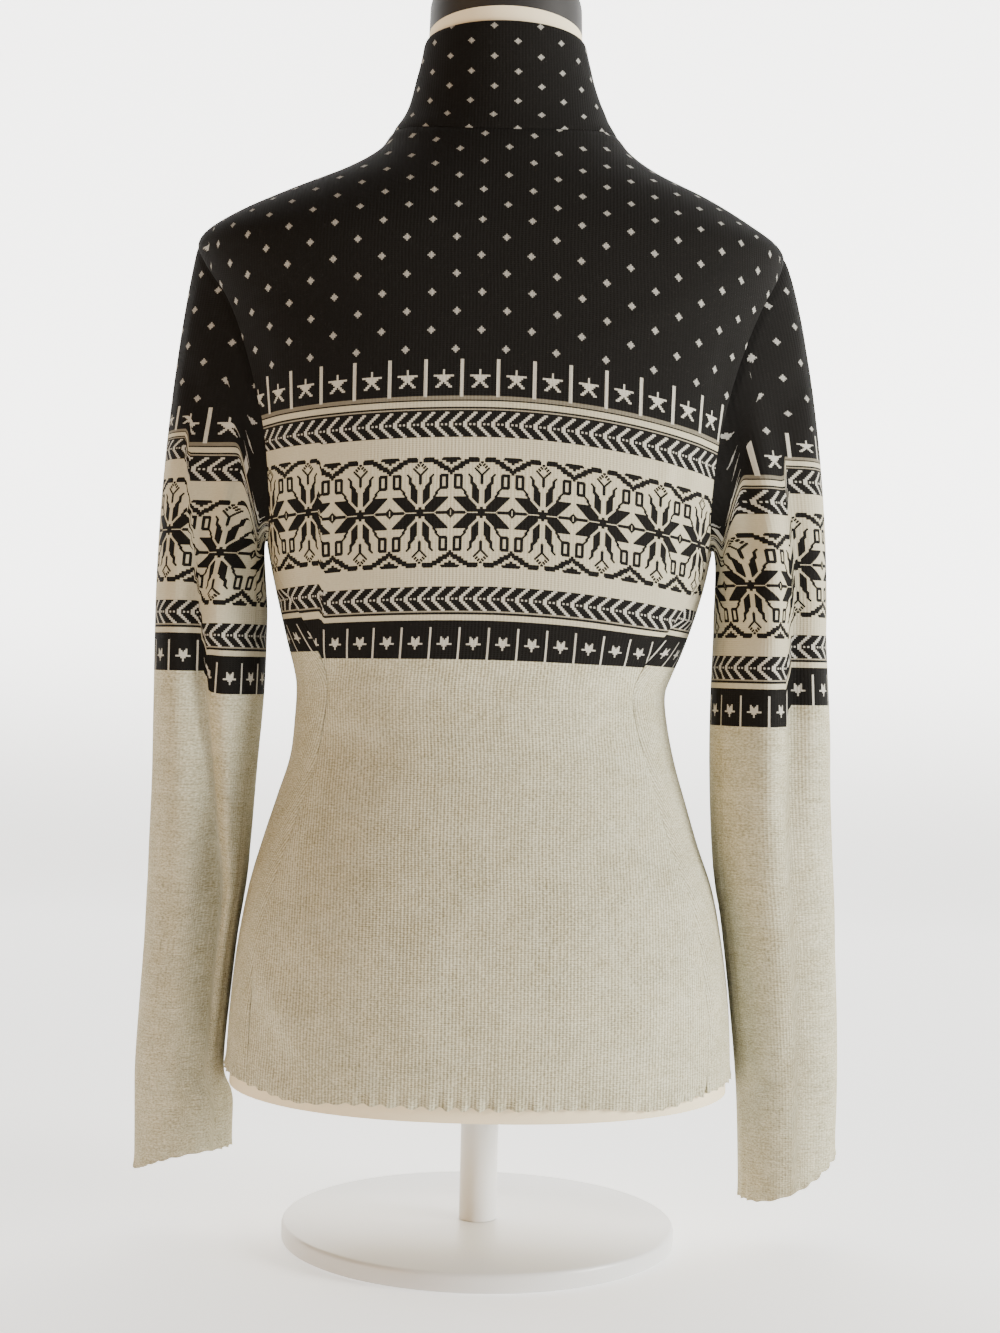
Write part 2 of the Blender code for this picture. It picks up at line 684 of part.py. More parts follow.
def make_pull_tab():
    """A flat tab whose upper bar turns under the slider's arch."""
    axis_level = PLATE_HIGH + HINGE_RISE
    window_half, window_end = TAB_WINDOW
    outline = box_outline(TAB_HALF, -TAB_LENGTH, TAB_BAR)
    window = box_outline(window_half, window_end, -TAB_BAR)
    tab = add_slab("pull_tab", outline, axis_level - TAB_BAR, axis_level + TAB_BAR, "zip_metal",
                   window)
    origin, _, out = slider_frame()
    pivot = Vector(origin + out * axis_level) * METRE
    tab.data.transform(Matrix.Translation(-pivot))
    tab.location = pivot


def main():
    for old in list(bpy.data.objects):
        bpy.data.objects.remove(old, do_unlink=True)
    make_back()
    for side_name in CUFFS:
        make_front(side_name)
        make_sleeve(side_name)
    make_collar()
    make_zip()
    make_slider()
    make_pull_tab()
    make_form()
    make_cap()
    make_stand()


main()
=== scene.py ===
# Fair isle knit jacket on a dress form: cloth shells, chart-knitted pattern, zip and light
# Millimetres until a mesh is made. +X is the wearer's right, +Y the front, +Z up
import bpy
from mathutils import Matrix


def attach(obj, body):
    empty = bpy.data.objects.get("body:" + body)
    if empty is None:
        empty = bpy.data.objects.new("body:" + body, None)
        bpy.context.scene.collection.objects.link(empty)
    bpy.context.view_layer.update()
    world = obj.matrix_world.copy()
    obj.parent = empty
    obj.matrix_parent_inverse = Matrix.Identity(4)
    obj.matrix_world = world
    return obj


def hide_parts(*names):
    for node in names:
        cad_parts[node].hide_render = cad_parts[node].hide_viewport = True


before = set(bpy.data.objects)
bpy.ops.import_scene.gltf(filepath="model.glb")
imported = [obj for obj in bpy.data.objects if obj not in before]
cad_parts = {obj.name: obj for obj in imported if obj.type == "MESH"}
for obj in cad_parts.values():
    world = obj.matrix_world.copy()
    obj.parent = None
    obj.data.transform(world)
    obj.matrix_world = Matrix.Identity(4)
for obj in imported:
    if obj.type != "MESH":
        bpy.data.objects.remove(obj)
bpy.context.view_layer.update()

import functools
import math

import bmesh
import bpy
import numpy as np
from mathutils import Matrix, Vector

metre = 0.001
dressedBody = "dressed_form"

# the cloth as a whole
cloth = {
    "thickness": 1.6,
    "solidWall": 1.8,        # of the CAD solids that the shells stand for
    "inset": 0.1,            # of the inner face from the solid's inner face
    "deepest": -1.15,        # no seam or crease goes further in than this
    "seamGap": 0.3,
    "seamDip": 0.75,         # how far an edge turns in at a seam
    "seamWidth": 2.4,
    "hemHeight": 104.0,
    "underarm": 440.0,
    "shoulder": 631.0,
    "neck": 700.0,
    "collarTop": 764.0,
    "armholeDepth": 39.0,
    "armholeBottomY": -15.0,
    "zipEdge": 3.2,
}

# height, half width, depth of back, depth of front, power of the rounding, middle of x
torsoTable = np.array((
    (96.0, 159.3, 108.0, 96.0, 2.3, -2.0),
    (150.0, 156.5, 111.0, 97.5, 2.3, -1.8),
    (190.0, 152.0, 109.0, 97.0, 2.3, -2.2),
    (225.0, 145.5, 102.0, 95.0, 2.3, -2.5),
    (254.0, 136.5, 95.0, 93.0, 2.25, -3.5),
    (280.0, 128.5, 89.0, 91.0, 2.2, -3.5),
    (305.0, 121.0, 83.5, 90.0, 2.2, -3.5),
    (331.0, 117.0, 79.5, 88.5, 2.2, -5.0),
    (350.0, 116.0, 78.5, 89.0, 2.2, -5.5),
    (362.0, 119.0, 79.5, 91.0, 2.2, -4.5),
    (375.0, 123.5, 81.5, 94.0, 2.25, -3.5),
    (395.0, 129.5, 84.5, 99.5, 2.3, -2.5),
    (416.0, 135.0, 88.0, 106.0, 2.35, -2.0),
    (440.0, 140.0, 91.5, 112.5, 2.4, -2.0),
    (470.0, 145.0, 95.0, 117.0, 2.45, -2.0),
    (510.0, 151.0, 98.0, 112.0, 2.5, -2.0),
    (550.0, 160.0, 97.5, 103.0, 2.5, -2.0),
    (590.0, 172.0, 93.5, 94.5, 2.45, -2.0),
    (615.0, 183.0, 89.0, 89.5, 2.4, -4.0),
    (631.0, 183.5, 85.0, 86.0, 2.35, -5.5),
    (645.0, 164.5, 80.0, 82.0, 2.3, -5.0),
    (660.0, 135.5, 74.5, 77.0, 2.2, -1.5),
    (675.0, 101.0, 68.0, 72.0, 2.15, 1.0),
    (688.0, 80.5, 62.5, 69.0, 2.1, 2.5),
    (700.0, 71.5, 57.0, 66.0, 2.05, 2.0),
    (713.0, 63.5, 51.5, 63.0, 2.0, 2.0),
    (730.0, 57.5, 47.5, 61.0, 2.0, 2.0),
    (747.0, 53.5, 45.0, 60.0, 2.0, 1.5),
    (764.0, 50.5, 43.5, 59.5, 2.0, 1.0),
    (812.0, 50.0, 43.0, 59.0, 2.0, 1.0),
))

# nominal height, height at the sides, half the drop from back to front, drop at both
tiltTable = np.array((
    (0.0, 4.5, 0.0, 4.5),
    (104.0, 108.5, 0.0, 4.5),
    (200.0, 200.0, 0.0, 0.0),
    (631.0, 631.0, 0.0, 0.0),
    (700.0, 701.0, 5.0, 12.0),
    (764.0, 760.0, 6.0, 1.0),
    (771.0, 767.0, 8.0, 0.0),
    (800.0, 796.0, 8.0, 0.0),
    (900.0, 896.0, 8.0, 0.0),
))

# height, y of the side seam
sideSeamTable = np.array((
    (96.0, -60.0),
    (225.0, -57.0),
    (305.0, -50.0),
    (375.0, -50.0),
    (398.0, -44.0),
    (420.0, -30.0),
    (440.0, -15.0),
))

# height, inner edge, outer edge, half depth, middle of y
sleeveTable = np.array((
    (20.0, 160.5, 224.5, 26.0, 2.0),
    (70.0, 160.0, 225.0, 26.5, 1.5),
    (104.0, 159.0, 225.0, 28.0, 0.5),
    (150.0, 156.5, 224.0, 31.0, -1.0),
    (190.0, 154.0, 222.5, 34.0, -2.0),
    (215.0, 152.0, 221.5, 36.0, -3.0),
    (241.0, 149.0, 220.0, 38.0, -4.0),
    (290.0, 145.0, 218.0, 41.0, -5.0),
    (343.0, 143.0, 216.5, 43.0, -6.0),
    (390.0, 142.5, 215.0, 45.0, -7.0),
    (450.0, 142.5, 213.0, 46.0, -7.0),
))

# height, how far in from that the inner and the outer edge hang, turn and depth of the crease
hangTable = {
    "left": np.array((
        (20.0, -1.1, 4.5, 2.3, 0.0),
        (72.0, -1.6, 4.0, 2.3, 0.5),
        (86.0, -0.5, 3.8, 2.3, 1.2),
        (100.0, 5.0, 3.6, 2.3, 2.0),
        (114.0, 6.0, 3.8, 2.3, 3.0),
        (150.0, 5.0, 5.0, 2.28, 5.0),
        (190.0, 3.4, 6.0, 2.25, 9.5),
        (221.0, 1.4, 6.2, 2.18, 12.0),
        (250.0, 2.0, 5.6, 2.02, 13.5),
        (295.0, 2.5, 5.0, 1.84, 14.5),
        (347.0, 0.5, 3.0, 1.65, 14.0),
        (397.0, 0.0, 1.5, 1.5, 12.0),
        (450.0, 0.0, 0.0, 1.2, 8.0),
        (500.0, 0.0, 0.0, 0.95, 4.0),
    )),
    "right": np.array((
        (20.0, 6.0, -3.0, 1.5, 0.0),
        (50.0, 6.0, -3.0, 1.5, 0.0),
        (112.0, 3.7, -3.0, 1.5, 0.5),
        (158.0, 1.2, -2.4, 1.45, 1.0),
        (190.0, -0.8, -1.9, 1.45, 1.5),
        (211.0, -2.2, -1.6, 1.44, 2.0),
        (227.0, -3.6, -1.4, 1.42, 2.5),
        (251.0, -3.9, -0.8, 1.4, 3.5),
        (290.0, -3.2, 0.0, 1.38, 8.0),
        (327.0, -2.6, 0.0, 1.36, 12.5),
        (380.0, -1.0, 1.6, 1.32, 14.0),
        (421.0, 0.0, 2.6, 1.24, 11.5),
        (450.0, 0.0, 3.0, 1.24, 7.0),
        (486.0, 0.0, 3.0, 1.26, 4.0),
    )),
}

# how the cap leaves the armhole: turn from the top, along the body, outwards, up at the end, drift
capHandles = np.array((
    (0.0, 18.0, 0.0, 120.0, 0.0),
    (45.0, 11.0, 12.0, 98.0, 0.0),
    (90.0, 4.0, 17.0, 66.0, 0.0),
    (135.0, 4.0, 12.0, 36.0, 0.5),
    (180.0, 7.0, 5.0, 18.0, -1.0),
))


def readTable(table, height):
    heights = table[:, 0]
    last = len(heights) - 1
    row = int(np.clip(np.searchsorted(heights, height) - 1, 0, last - 1))
    step = heights[row + 1] - heights[row]
    t = float(np.clip((height - heights[row]) / step, 0.0, 1.0))

    def slope(at):
        before, after = max(at - 1, 0), min(at + 1, last)
        return (table[after, 1:] - table[before, 1:]) / (heights[after] - heights[before])

    start, end = table[row, 1:], table[row + 1, 1:]
    return ((2 * t**3 - 3 * t**2 + 1) * start + (t**3 - 2 * t**2 + t) * step * slope(row)
            + (3 * t**2 - 2 * t**3) * end + (t**3 - t**2) * step * slope(row + 1))


def readStraight(table, value):
    return [float(np.interp(value, table[:, 0], table[:, k])) for k in range(1, table.shape[1])]


def smooth(low, high, value):
    t = np.clip((value - low) / (high - low), 0.0, 1.0)
    return t * t * (3.0 - 2.0 * t)


@functools.lru_cache(maxsize=None)
def halfRing(height):
    halfWidth, back, front, power, middle = readTable(torsoTable, height)
    angle = np.linspace(-math.pi / 2, math.pi / 2, 721)
    x = halfWidth * np.abs(np.cos(angle)) ** (2.0 / power)
    level = np.sign(np.sin(angle)) * np.abs(np.sin(angle)) ** (2.0 / power)
    y = np.where(level < 0.0, back, front) * level
    arc = np.concatenate(([0.0], np.cumsum(np.hypot(np.diff(x), np.diff(y)))))
    return middle, x, y, level, arc


def halfLength(height):
    return halfRing(height)[4][-1]


def arcAtY(height, yValue):
    _, _, y, _, arc = halfRing(height)
    return float(np.interp(yValue, y, arc))


def skinRow(height, arcs):
    middle, x, y, level, arc = halfRing(height)
    arcs = np.asarray(arcs, dtype=float)
    side = np.where(arcs >= 0.0, 1.0, -1.0)
    along = np.abs(arcs)
    over = along > arc[-1]
    along = np.where(over, 2.0 * arc[-1] - along, along)
    side = np.where(over, -side, side)
    depth = np.interp(along, arc, level)
    mid, tilt, drop = readStraight(tiltTable, height)
    return np.stack((middle + side * np.interp(along, arc, x), np.interp(along, arc, y),
                     mid - tilt * depth - drop * depth * depth), axis=-1)


def skinNormals(height, arcs):
    delta = 1.5
    arcs = np.asarray(arcs, dtype=float)
    share = arcs / halfLength(height)
    across = skinRow(height, arcs + delta) - skinRow(height, arcs - delta)
    above, below = height + delta, height - delta
    up = skinRow(above, share * halfLength(above)) - skinRow(below, share * halfLength(below))
    normal = np.cross(across, up)
    return normal / np.linalg.norm(normal, axis=-1, keepdims=True)


def edgeSpaced(length, step, near=(0.7, 1.6, 2.8, 4.4)):
    inner = near[-1] + step
    count = max(2, int(round((length - 2 * inner) / step)))
    middle = np.linspace(inner, length - inner, count + 1)
    low = np.array((0.0, *near))
    places = np.concatenate((low, middle, length - low[::-1]))
    return places / length


def armholeY(height, face):
    middle = (cloth["underarm"] + cloth["shoulder"]) / 2
    radius = (cloth["shoulder"] - cloth["underarm"]) / 2
    rise = float(np.clip((height - middle) / radius, -1.0, 1.0))
    centre = cloth["armholeBottomY"] * (1.0 - rise) / 2
    return centre + face * cloth["armholeDepth"] * math.sqrt(1.0 - rise * rise)


def panelEdge(height, face):
    if height <= cloth["underarm"]:
        edge = arcAtY(height, float(readTable(sideSeamTable, height)[0]))
    elif height < cloth["shoulder"]:
        edge = arcAtY(height, armholeY(height, face))
    else:
        edge = arcAtY(height, 0.0)
    return edge + face * cloth["seamGap"] / 2


def panelHeights(step):
    arm = cloth["underarm"]
    hem = cloth["hemHeight"] + np.array((0.0, 0.7, 1.6, 2.8, 4.4, 6.2, 8.4))
    low = np.arange(cloth["hemHeight"] + 8.4 + step, arm - 1.0, step)
    middle = (arm + cloth["shoulder"]) / 2
    radius = (cloth["shoulder"] - arm) / 2
    count = int(round(math.pi * radius / step / 1.15))
    arms = middle - radius * np.cos(np.linspace(0.0, math.pi, count + 1))
    top = cloth["neck"] - np.array((4.4, 2.8, 1.6, 0.7, 0.0))
    high = np.arange(cloth["shoulder"] + 2.0, top[0] - 1.0, step * 0.75)
    return [float(h) for h in np.concatenate((hem, low, arms, high, top))]


# pattern rows hang lower towards the sides: height, at the left side, at the right side
dropTable = np.array((
    (96.0, 0.0, 0.0),
    (340.0, 0.0, 1.0),
    (369.0, 2.0, 4.0),
    (394.0, 6.0, 11.0),
    (412.0, 8.0, 13.7),
    (450.0, 9.0, 16.0),
    (488.0, 9.4, 20.0),
    (520.0, 9.8, 21.0),
    (800.0, 11.0, 22.0),
))


def patternDrop(points, heights, halfWidths, middles):
    share = (points[..., 0] - middles[:, None]) / halfWidths[:, None]
    left = np.interp(heights, dropTable[:, 0], dropTable[:, 1])[:, None]
    right = np.interp(heights, dropTable[:, 0], dropTable[:, 2])[:, None]
    return np.where(share < 0.0, left, right) * np.clip(np.abs(share), 0.0, 1.1) ** 1.8


# a lane of stitches runs straight up the body, so its length grows where the body leans
def leanExcess(xs, heights, face, start=550.0):
    tops = np.arange(start, cloth["neck"] + 12.0, 1.0)
    lanes = np.linspace(0.0, 186.0, 94)
    length = np.zeros((len(tops), len(lanes)))
    before = None
    for k, height in enumerate(tops):
        halfWidth, back, front, power, _ = readTable(torsoTable, float(height))
        depth = back if face < 0 else front
        level = np.clip(1.0 - (lanes / halfWidth) ** power, 0.0, 1.0) ** (1.0 / power)
        y = depth * level
        if before is not None:
            length[k] = length[k - 1] + np.hypot(1.0, np.minimum(y - before, 0.4)) - 1.0
        before = y
    out = np.zeros_like(xs)
    for i, height in enumerate(heights):
        if height > start:
            k = min(int(height - start), len(tops) - 2)
            part = height - start - k
            row = length[k] * (1.0 - part) + length[k + 1] * part
            out[i] = np.interp(np.abs(xs[i]), lanes, row)
    return out


# each crease is a bent line: start, bend and end on the cloth, its width and its depth
def creaseField(u, v, creases):
    total = np.zeros_like(u)
    for startU, startV, bendU, bendV, endU, endV, width, depth in creases:
        best = np.full_like(u, 1e9)
        where = np.zeros_like(u)
        ts = np.linspace(0.0, 1.0, 9)
        curveU = (1 - ts) ** 2 * startU + 2 * ts * (1 - ts) * bendU + ts ** 2 * endU
        curveV = (1 - ts) ** 2 * startV + 2 * ts * (1 - ts) * bendV + ts ** 2 * endV
        for k in range(8):
            du, dv = curveU[k + 1] - curveU[k], curveV[k + 1] - curveV[k]
            t = np.clip(((u - curveU[k]) * du + (v - curveV[k]) * dv) / (du * du + dv * dv), 0, 1)
            far = np.hypot(u - curveU[k] - t * du, v - curveV[k] - t * dv)
            nearer = far < best
            best = np.where(nearer, far, best)
            where = np.where(nearer, (k + t) / 8.0, where)
        fade = np.sin(math.pi * np.clip(where * 0.94 + 0.03, 0.0, 1.0)) ** 0.6
        total += depth * fade * np.exp(-(best / width) ** 2)
    return total


def lettuce(u, distance, amplitude=1.5, reach=4.5, wave=11.0):
    phase = 2 * math.pi * u / wave + 1.1 * np.sin(u / 23.0) + 0.7 * np.sin(u / 9.1 + 1.0)
    size = amplitude * (0.75 + 0.35 * np.sin(u / 31.0 + 2.0))
    return size * np.sin(phase) * np.exp(-distance / reach)


# a closed thin wall from two grids of points, with the knit's own map in millimetres
def addShell(name, outer, inner, uv, around=False):
    rows, columns = outer.shape[:2]
    verts = np.concatenate((outer.reshape(-1, 3), inner.reshape(-1, 3))) * metre
    index = np.arange(rows * columns).reshape(rows, columns)
    steps = columns if around else columns - 1
    right = (np.arange(steps) + 1) % columns
    here = np.arange(steps)
    a, b = index[:-1][:, here], index[:-1][:, right]
    c, d = index[1:][:, right], index[1:][:, here]
    outside = np.stack((a, b, c, d), axis=-1).reshape(-1, 4)
    shift = rows * columns
    inside = outside[:, ::-1] + shift
    low = np.stack((index[0][right], index[0][here], index[0][here] + shift,
                    index[0][right] + shift), axis=-1)
    high = np.stack((index[-1][here], index[-1][right], index[-1][right] + shift,
                     index[-1][here] + shift), axis=-1)
    faces = [outside, inside, low, high]
    if not around:
        faces.append(np.stack((index[:-1, 0], index[1:, 0], index[1:, 0] + shift,
                               index[:-1, 0] + shift), axis=-1))
        faces.append(np.stack((index[1:, -1], index[:-1, -1], index[:-1, -1] + shift,
                               index[1:, -1] + shift), axis=-1))
    faces = np.concatenate(faces)
    mesh = bpy.data.meshes.new(name)
    mesh.from_pydata(verts.tolist(), [], faces.tolist())
    layer = mesh.uv_layers.new(name="knit")
    columnOf = np.arange(rows * columns) % columns
    flat = uv[:, :columns].reshape(-1, 2)
    corners = faces.reshape(-1) % shift
    places = flat[corners].copy()
    if around:
        closing = uv[:, columns].reshape(-1, 2)
        corner4 = columnOf[corners].reshape(-1, 4)
        wraps = (corner4.max(axis=1) == columns - 1) & (corner4.min(axis=1) == 0)
        wrapCorner = (np.repeat(wraps, 4)) & (columnOf[corners] == 0)
        places[wrapCorner] = closing[corners[wrapCorner] // columns]
    layer.data.foreach_set("uv", places.astype(np.float32).reshape(-1))
    mesh.validate()
    made = bpy.data.objects.new(name, mesh)
    bpy.context.collection.objects.link(made)
    data = bmesh.new()
    data.from_mesh(mesh)
    volume = data.calc_volume(signed=True)
    if volume < 0.0:
        bmesh.ops.reverse_faces(data, faces=data.faces)
        data.to_mesh(mesh)
    data.free()
    mesh.shade_smooth()
    mesh.set_sharp_from_angle(angle=math.radians(60))
    return made


def stackRows(heights, arcRows):
    points = np.stack([skinRow(h, arcs) for h, arcs in zip(heights, arcRows)])
    normals = np.stack([skinNormals(h, arcs) for h, arcs in zip(heights, arcRows)])
    return points, normals


def seamDips(distances):
    total = np.zeros_like(distances[0])
    for distance in distances:
        total = np.maximum(total, np.exp(-(distance / cloth["seamWidth"]) ** 2))
    return -cloth["seamDip"] * total


def clothFromSkin(name, points, normals, lift, uv, rise=None):
    if rise is not None:
        points = points + rise[..., None] * np.array((0.0, 0.0, 1.0))
    inner = points + normals * (cloth["inset"] + lift)[..., None]
    outer = inner + normals * cloth["thickness"]
    return addShell(name, outer, inner, uv)


# back panel. Creases: from u, from height, bend u, bend height, to u, to height, width, depth
backPanel = {
    "columnStep": 1.9,
    "rowStep": 3.6,
    "sag": 4.0,              # of the hem near the side seams, below its level line
    "sagPlace": 42.0,
    "sagWidth": 26.0,
    "sagFade": 26.0,
    "foldStep": 5.0,         # of the rows beyond the fold by the left side seam
    "foldArc": (103.0, 105.0),
    "foldLow": (380.0, 400.0),
    "foldHigh": (480.0, 505.0),
    "creases": (
        (-118, 505, -112, 455, -113, 396, 6.5, -2.6),
        (-106, 500, -103, 450, -104, 392, 5.0, 1.6),
        (-150, 560, -146, 520, -152, 462, 7.0, -2.0),
        (150, 566, 143, 520, 150, 458, 8.0, -2.4),
        (121, 498, 116, 455, 126, 405, 6.0, -2.6),
        (110, 505, 106, 450, 112, 398, 5.0, 1.5),
        (66, 391, 98, 386, 128, 402, 9.0, 3.2),
        (70, 363, 98, 362, 124, 372, 6.0, -1.6),
        (-70, 365, -98, 360, -124, 366, 7.0, -1.2),
        (-126, 332, -96, 318, -52, 312, 11.0, -1.1),
        (-120, 302, -92, 282, -60, 268, 12.0, 0.9),
        (122, 338, 98, 326, 62, 322, 10.0, -1.2),
        (118, 300, 92, 288, 58, 270, 13.0, 0.8),
        (-176, 168, -150, 142, -112, 116, 9.0, -3.4),
        (-156, 186, -122, 158, -92, 118, 12.0, 2.0),
        (134, 226, 112, 190, 104, 132, 14.0, 0.9),
        (-30, 196, -36, 160, -28, 112, 16.0, 0.7),
        (60, 560, 104, 584, 150, 606, 10.0, 0.8),
        (-64, 566, -104, 580, -152, 604, 11.0, -0.9),
    ),
}


def panelFields(heights, arcRows, face):
    rings = [readTable(torsoTable, h) for h in heights]
    halfWidths = np.array([ring[0] for ring in rings])
    middles = np.array([ring[4] for ring in rings])
    points, normals = stackRows(heights, arcRows)
    drop = patternDrop(points, heights, halfWidths, middles)
    xs = points[..., 0] - middles[:, None]
    rowHeights = np.repeat(np.array(heights)[:, None], points.shape[1], axis=1)
    v = rowHeights + leanExcess(xs, heights, face) + drop
    return points, normals, rowHeights, v


# above the armholes the lanes of stitches keep their x, so the map stops following the arc
laneValues = {
    "ring": 600.0,           # the height whose arc the lanes keep
    "from": 575.0,
    "full": 640.0,
}


def laneArc(heights, arcRows, points, face):
    middle, x, y, _, arc = halfRing(laneValues["ring"])
    total = arc[-1]
    u = np.array(arcRows)
    for i, height in enumerate(heights):
        if height > laneValues["from"]:
            weight = float(smooth(laneValues["from"], laneValues["full"], height))
            across = points[i, :, 0] - middle
            if face < 0:
                half = y <= 0.0
                lane = np.interp(np.abs(across), x[half], arc[half]) * np.sign(across)
            else:
                half = y >= 0.0
                lane = np.interp(-np.abs(across), -x[half], total - arc[half]) * np.sign(across)
            u[i] = u[i] * (1.0 - weight) + lane * weight
    return u


print("cloth: back panel")


def makeBack():
    heights = panelHeights(backPanel["rowStep"])
    shares = edgeSpaced(2 * panelEdge(500.0, -1), backPanel["columnStep"]) * 2.0 - 1.0
    edges = [panelEdge(h, -1) for h in heights]
    arcRows = [shares * edge for edge in edges]
    points, normals, rowHeights, v = panelFields(heights, arcRows, -1)
    arcs = np.array(arcRows)
    u = laneArc(heights, arcRows, points, -1)
    toSide = np.array(edges)[:, None] - np.abs(arcs)
    toNeck = cloth["neck"] - rowHeights
    lift = seamDips((toSide, toNeck)) + creaseField(arcs, rowHeights, backPanel["creases"])
    fromHem = rowHeights - cloth["hemHeight"]
    lift = np.maximum(lift, cloth["deepest"]) + lettuce(arcs, fromHem)
    rise = lettuce(arcs + 4.0, fromHem, amplitude=1.0)
    sag = np.exp(-((toSide - backPanel["sagPlace"]) / backPanel["sagWidth"]) ** 2)
    rise -= backPanel["sag"] * sag * (1.0 - smooth(0.0, backPanel["sagFade"], fromHem))
    # beyond the fold by the side seam the rows stand a little higher
    step = backPanel["foldStep"] * smooth(*backPanel["foldArc"], -arcs)
    step *= smooth(*backPanel["foldLow"], rowHeights)
    step *= 1.0 - smooth(*backPanel["foldHigh"], rowHeights)
    return clothFromSkin("backPanel", points, normals, lift, np.stack((u, v - step), axis=-1), rise)


backPiece = makeBack()

# front panels. The arc is from the centre front, positive towards the side
frontPanel = {
    "columnStep": 1.9,
    "rowStep": 3.6,
    "patternRise": {"left": 5.0, "right": 2.0},
    "calmReach": 16.0,       # the zip holds the wavy edge still up to here
    "creases": {
        "left": (
            (132, 500, 118, 484, 86, 470, 8.0, -1.4),
            (130, 470, 108, 452, 76, 446, 9.0, 1.6),
            (118, 404, 88, 398, 40, 408, 8.0, -1.3),
            (120, 372, 84, 380, 46, 372, 8.0, 2.0),
            (112, 336, 80, 330, 44, 346, 10.0, -1.2),
            (118, 300, 84, 296, 50, 284, 12.0, 0.9),
            (24, 330, 28, 280, 18, 230, 9.0, -0.8),
            (90, 220, 84, 170, 92, 120, 13.0, -0.9),
            (140, 560, 120, 545, 104, 520, 9.0, -1.2),
            (38, 668, 60, 640, 92, 622, 9.0, 0.8),
        ),
        "right": (
            (136, 510, 112, 492, 92, 480, 8.0, -1.5),
            (128, 462, 104, 446, 70, 448, 9.0, 1.4),
            (116, 410, 90, 400, 48, 400, 9.0, -1.2),
            (122, 378, 92, 384, 42, 380, 9.0, 2.4),
            (116, 344, 82, 336, 52, 338, 9.0, -1.3),
            (114, 290, 88, 292, 58, 300, 12.0, 0.8),
            (22, 300, 30, 262, 24, 214, 10.0, -0.7),
            (84, 214, 92, 160, 82, 118, 14.0, 0.9),
            (138, 566, 122, 548, 98, 530, 10.0, -1.1),
            (36, 664, 56, 646, 88, 616, 10.0, 0.7),
        ),
    },
}


def makeFront(sideName, side):
    heights = panelHeights(frontPanel["rowStep"])
    edges = [panelEdge(h, 1) for h in heights]
    zips = [halfLength(h) - cloth["zipEdge"] for h in heights]
    length = zips[len(zips) // 2] - edges[len(edges) // 2]
    shares = edgeSpaced(length, frontPanel["columnStep"])
    arcRows = [side * (edge + (end - edge) * shares) for edge, end in zip(edges, zips)]
    points, normals, rowHeights, v = panelFields(heights, arcRows, 1)
    halves = np.array([halfLength(h) for h in heights])[:, None]
    fromZip = halves - np.abs(np.array(arcRows))
    lanes = laneArc(heights, fromZip, points * np.array((side, 1.0, 1.0)), 1)
    toSide = np.abs(np.array(arcRows)) - np.array(edges)[:, None]
    toNeck = cloth["neck"] - rowHeights
    lift = seamDips((toSide, toNeck, (fromZip - cloth["zipEdge"]) * 1.6))
    lift += creaseField(fromZip, rowHeights, frontPanel["creases"][sideName])
    fromHem = rowHeights - cloth["hemHeight"]
    calm = smooth(cloth["zipEdge"], frontPanel["calmReach"], fromZip)
    lift = np.maximum(lift, cloth["deepest"]) + lettuce(fromZip + 7.0 * side, fromHem) * calm
    rise = lettuce(fromZip + 3.0, fromHem, amplitude=1.0) * calm
    uv = np.stack((side * lanes, v - frontPanel["patternRise"][sideName]), axis=-1)
    return clothFromSkin(f"frontPanel{sideName.capitalize()}", points, normals, lift, uv, rise)


print("cloth: front panels")
frontLeft = makeFront("left", -1)
frontRight = makeFront("right", 1)

# collar: the neck seam at the bottom, a turned edge at the top
collarPanel = {
    "columnStep": 2.0,
    "mapStart": 760.0,
    "mapStretch": 1.17,
    "mapFlare": 0.85,        # share of the arc in the map, the rest keeps the seam's width
    "rows": (0.3, 1.0, 1.9, 3.1, 4.7, 7.0, 10.0, 13.5, 17.0, 21.0, 25.0, 29.0, 33.0, 37.0, 41.0,
             45.0, 49.0, 52.5, 55.5, 58.0, 60.0, 61.6, 62.8, 63.6, 64.0),
    "creases": (
        (-84, 716, -56, 712, -24, 718, 7.0, -0.7),
        (70, 714, 96, 720, 122, 730, 8.0, 0.8),
        (-60, 742, -84, 734, -118, 722, 8.0, 0.7),
        (18, 742, 48, 748, 78, 738, 8.0, -0.5),
    ),
}


def makeCollar():
    heights = [cloth["neck"] + rise for rise in collarPanel["rows"]]
    reach = [halfLength(h) - cloth["zipEdge"] for h in heights]
    shares = edgeSpaced(2 * reach[0], collarPanel["columnStep"]) * 2.0 - 1.0
    arcRows = [shares * end for end in reach]
    points, normals = stackRows(heights, arcRows)
    arcs = np.array(arcRows)
    rowHeights = np.repeat(np.array(heights)[:, None], arcs.shape[1], axis=1)
    up = np.concatenate((np.zeros((1, arcs.shape[1])),
                         np.cumsum(np.linalg.norm(np.diff(points, axis=0), axis=-1), axis=0)))
    fromSeam = rowHeights - cloth["neck"]
    toTop = (cloth["collarTop"] - rowHeights) * 1.5
    lift = seamDips((fromSeam, toTop)) * 0.8
    lift = np.maximum(lift + creaseField(arcs, rowHeights, collarPanel["creases"]), -1.0)
    flare = collarPanel["mapFlare"]
    uv = np.stack(((1.0 - flare) * shares[None, :] * reach[0] + flare * arcs,
                   collarPanel["mapStart"] + collarPanel["mapStretch"] * up), axis=-1)
    return clothFromSkin("collarPanel", points, normals, lift, uv)


print("cloth: collar")
collarPiece = makeCollar()

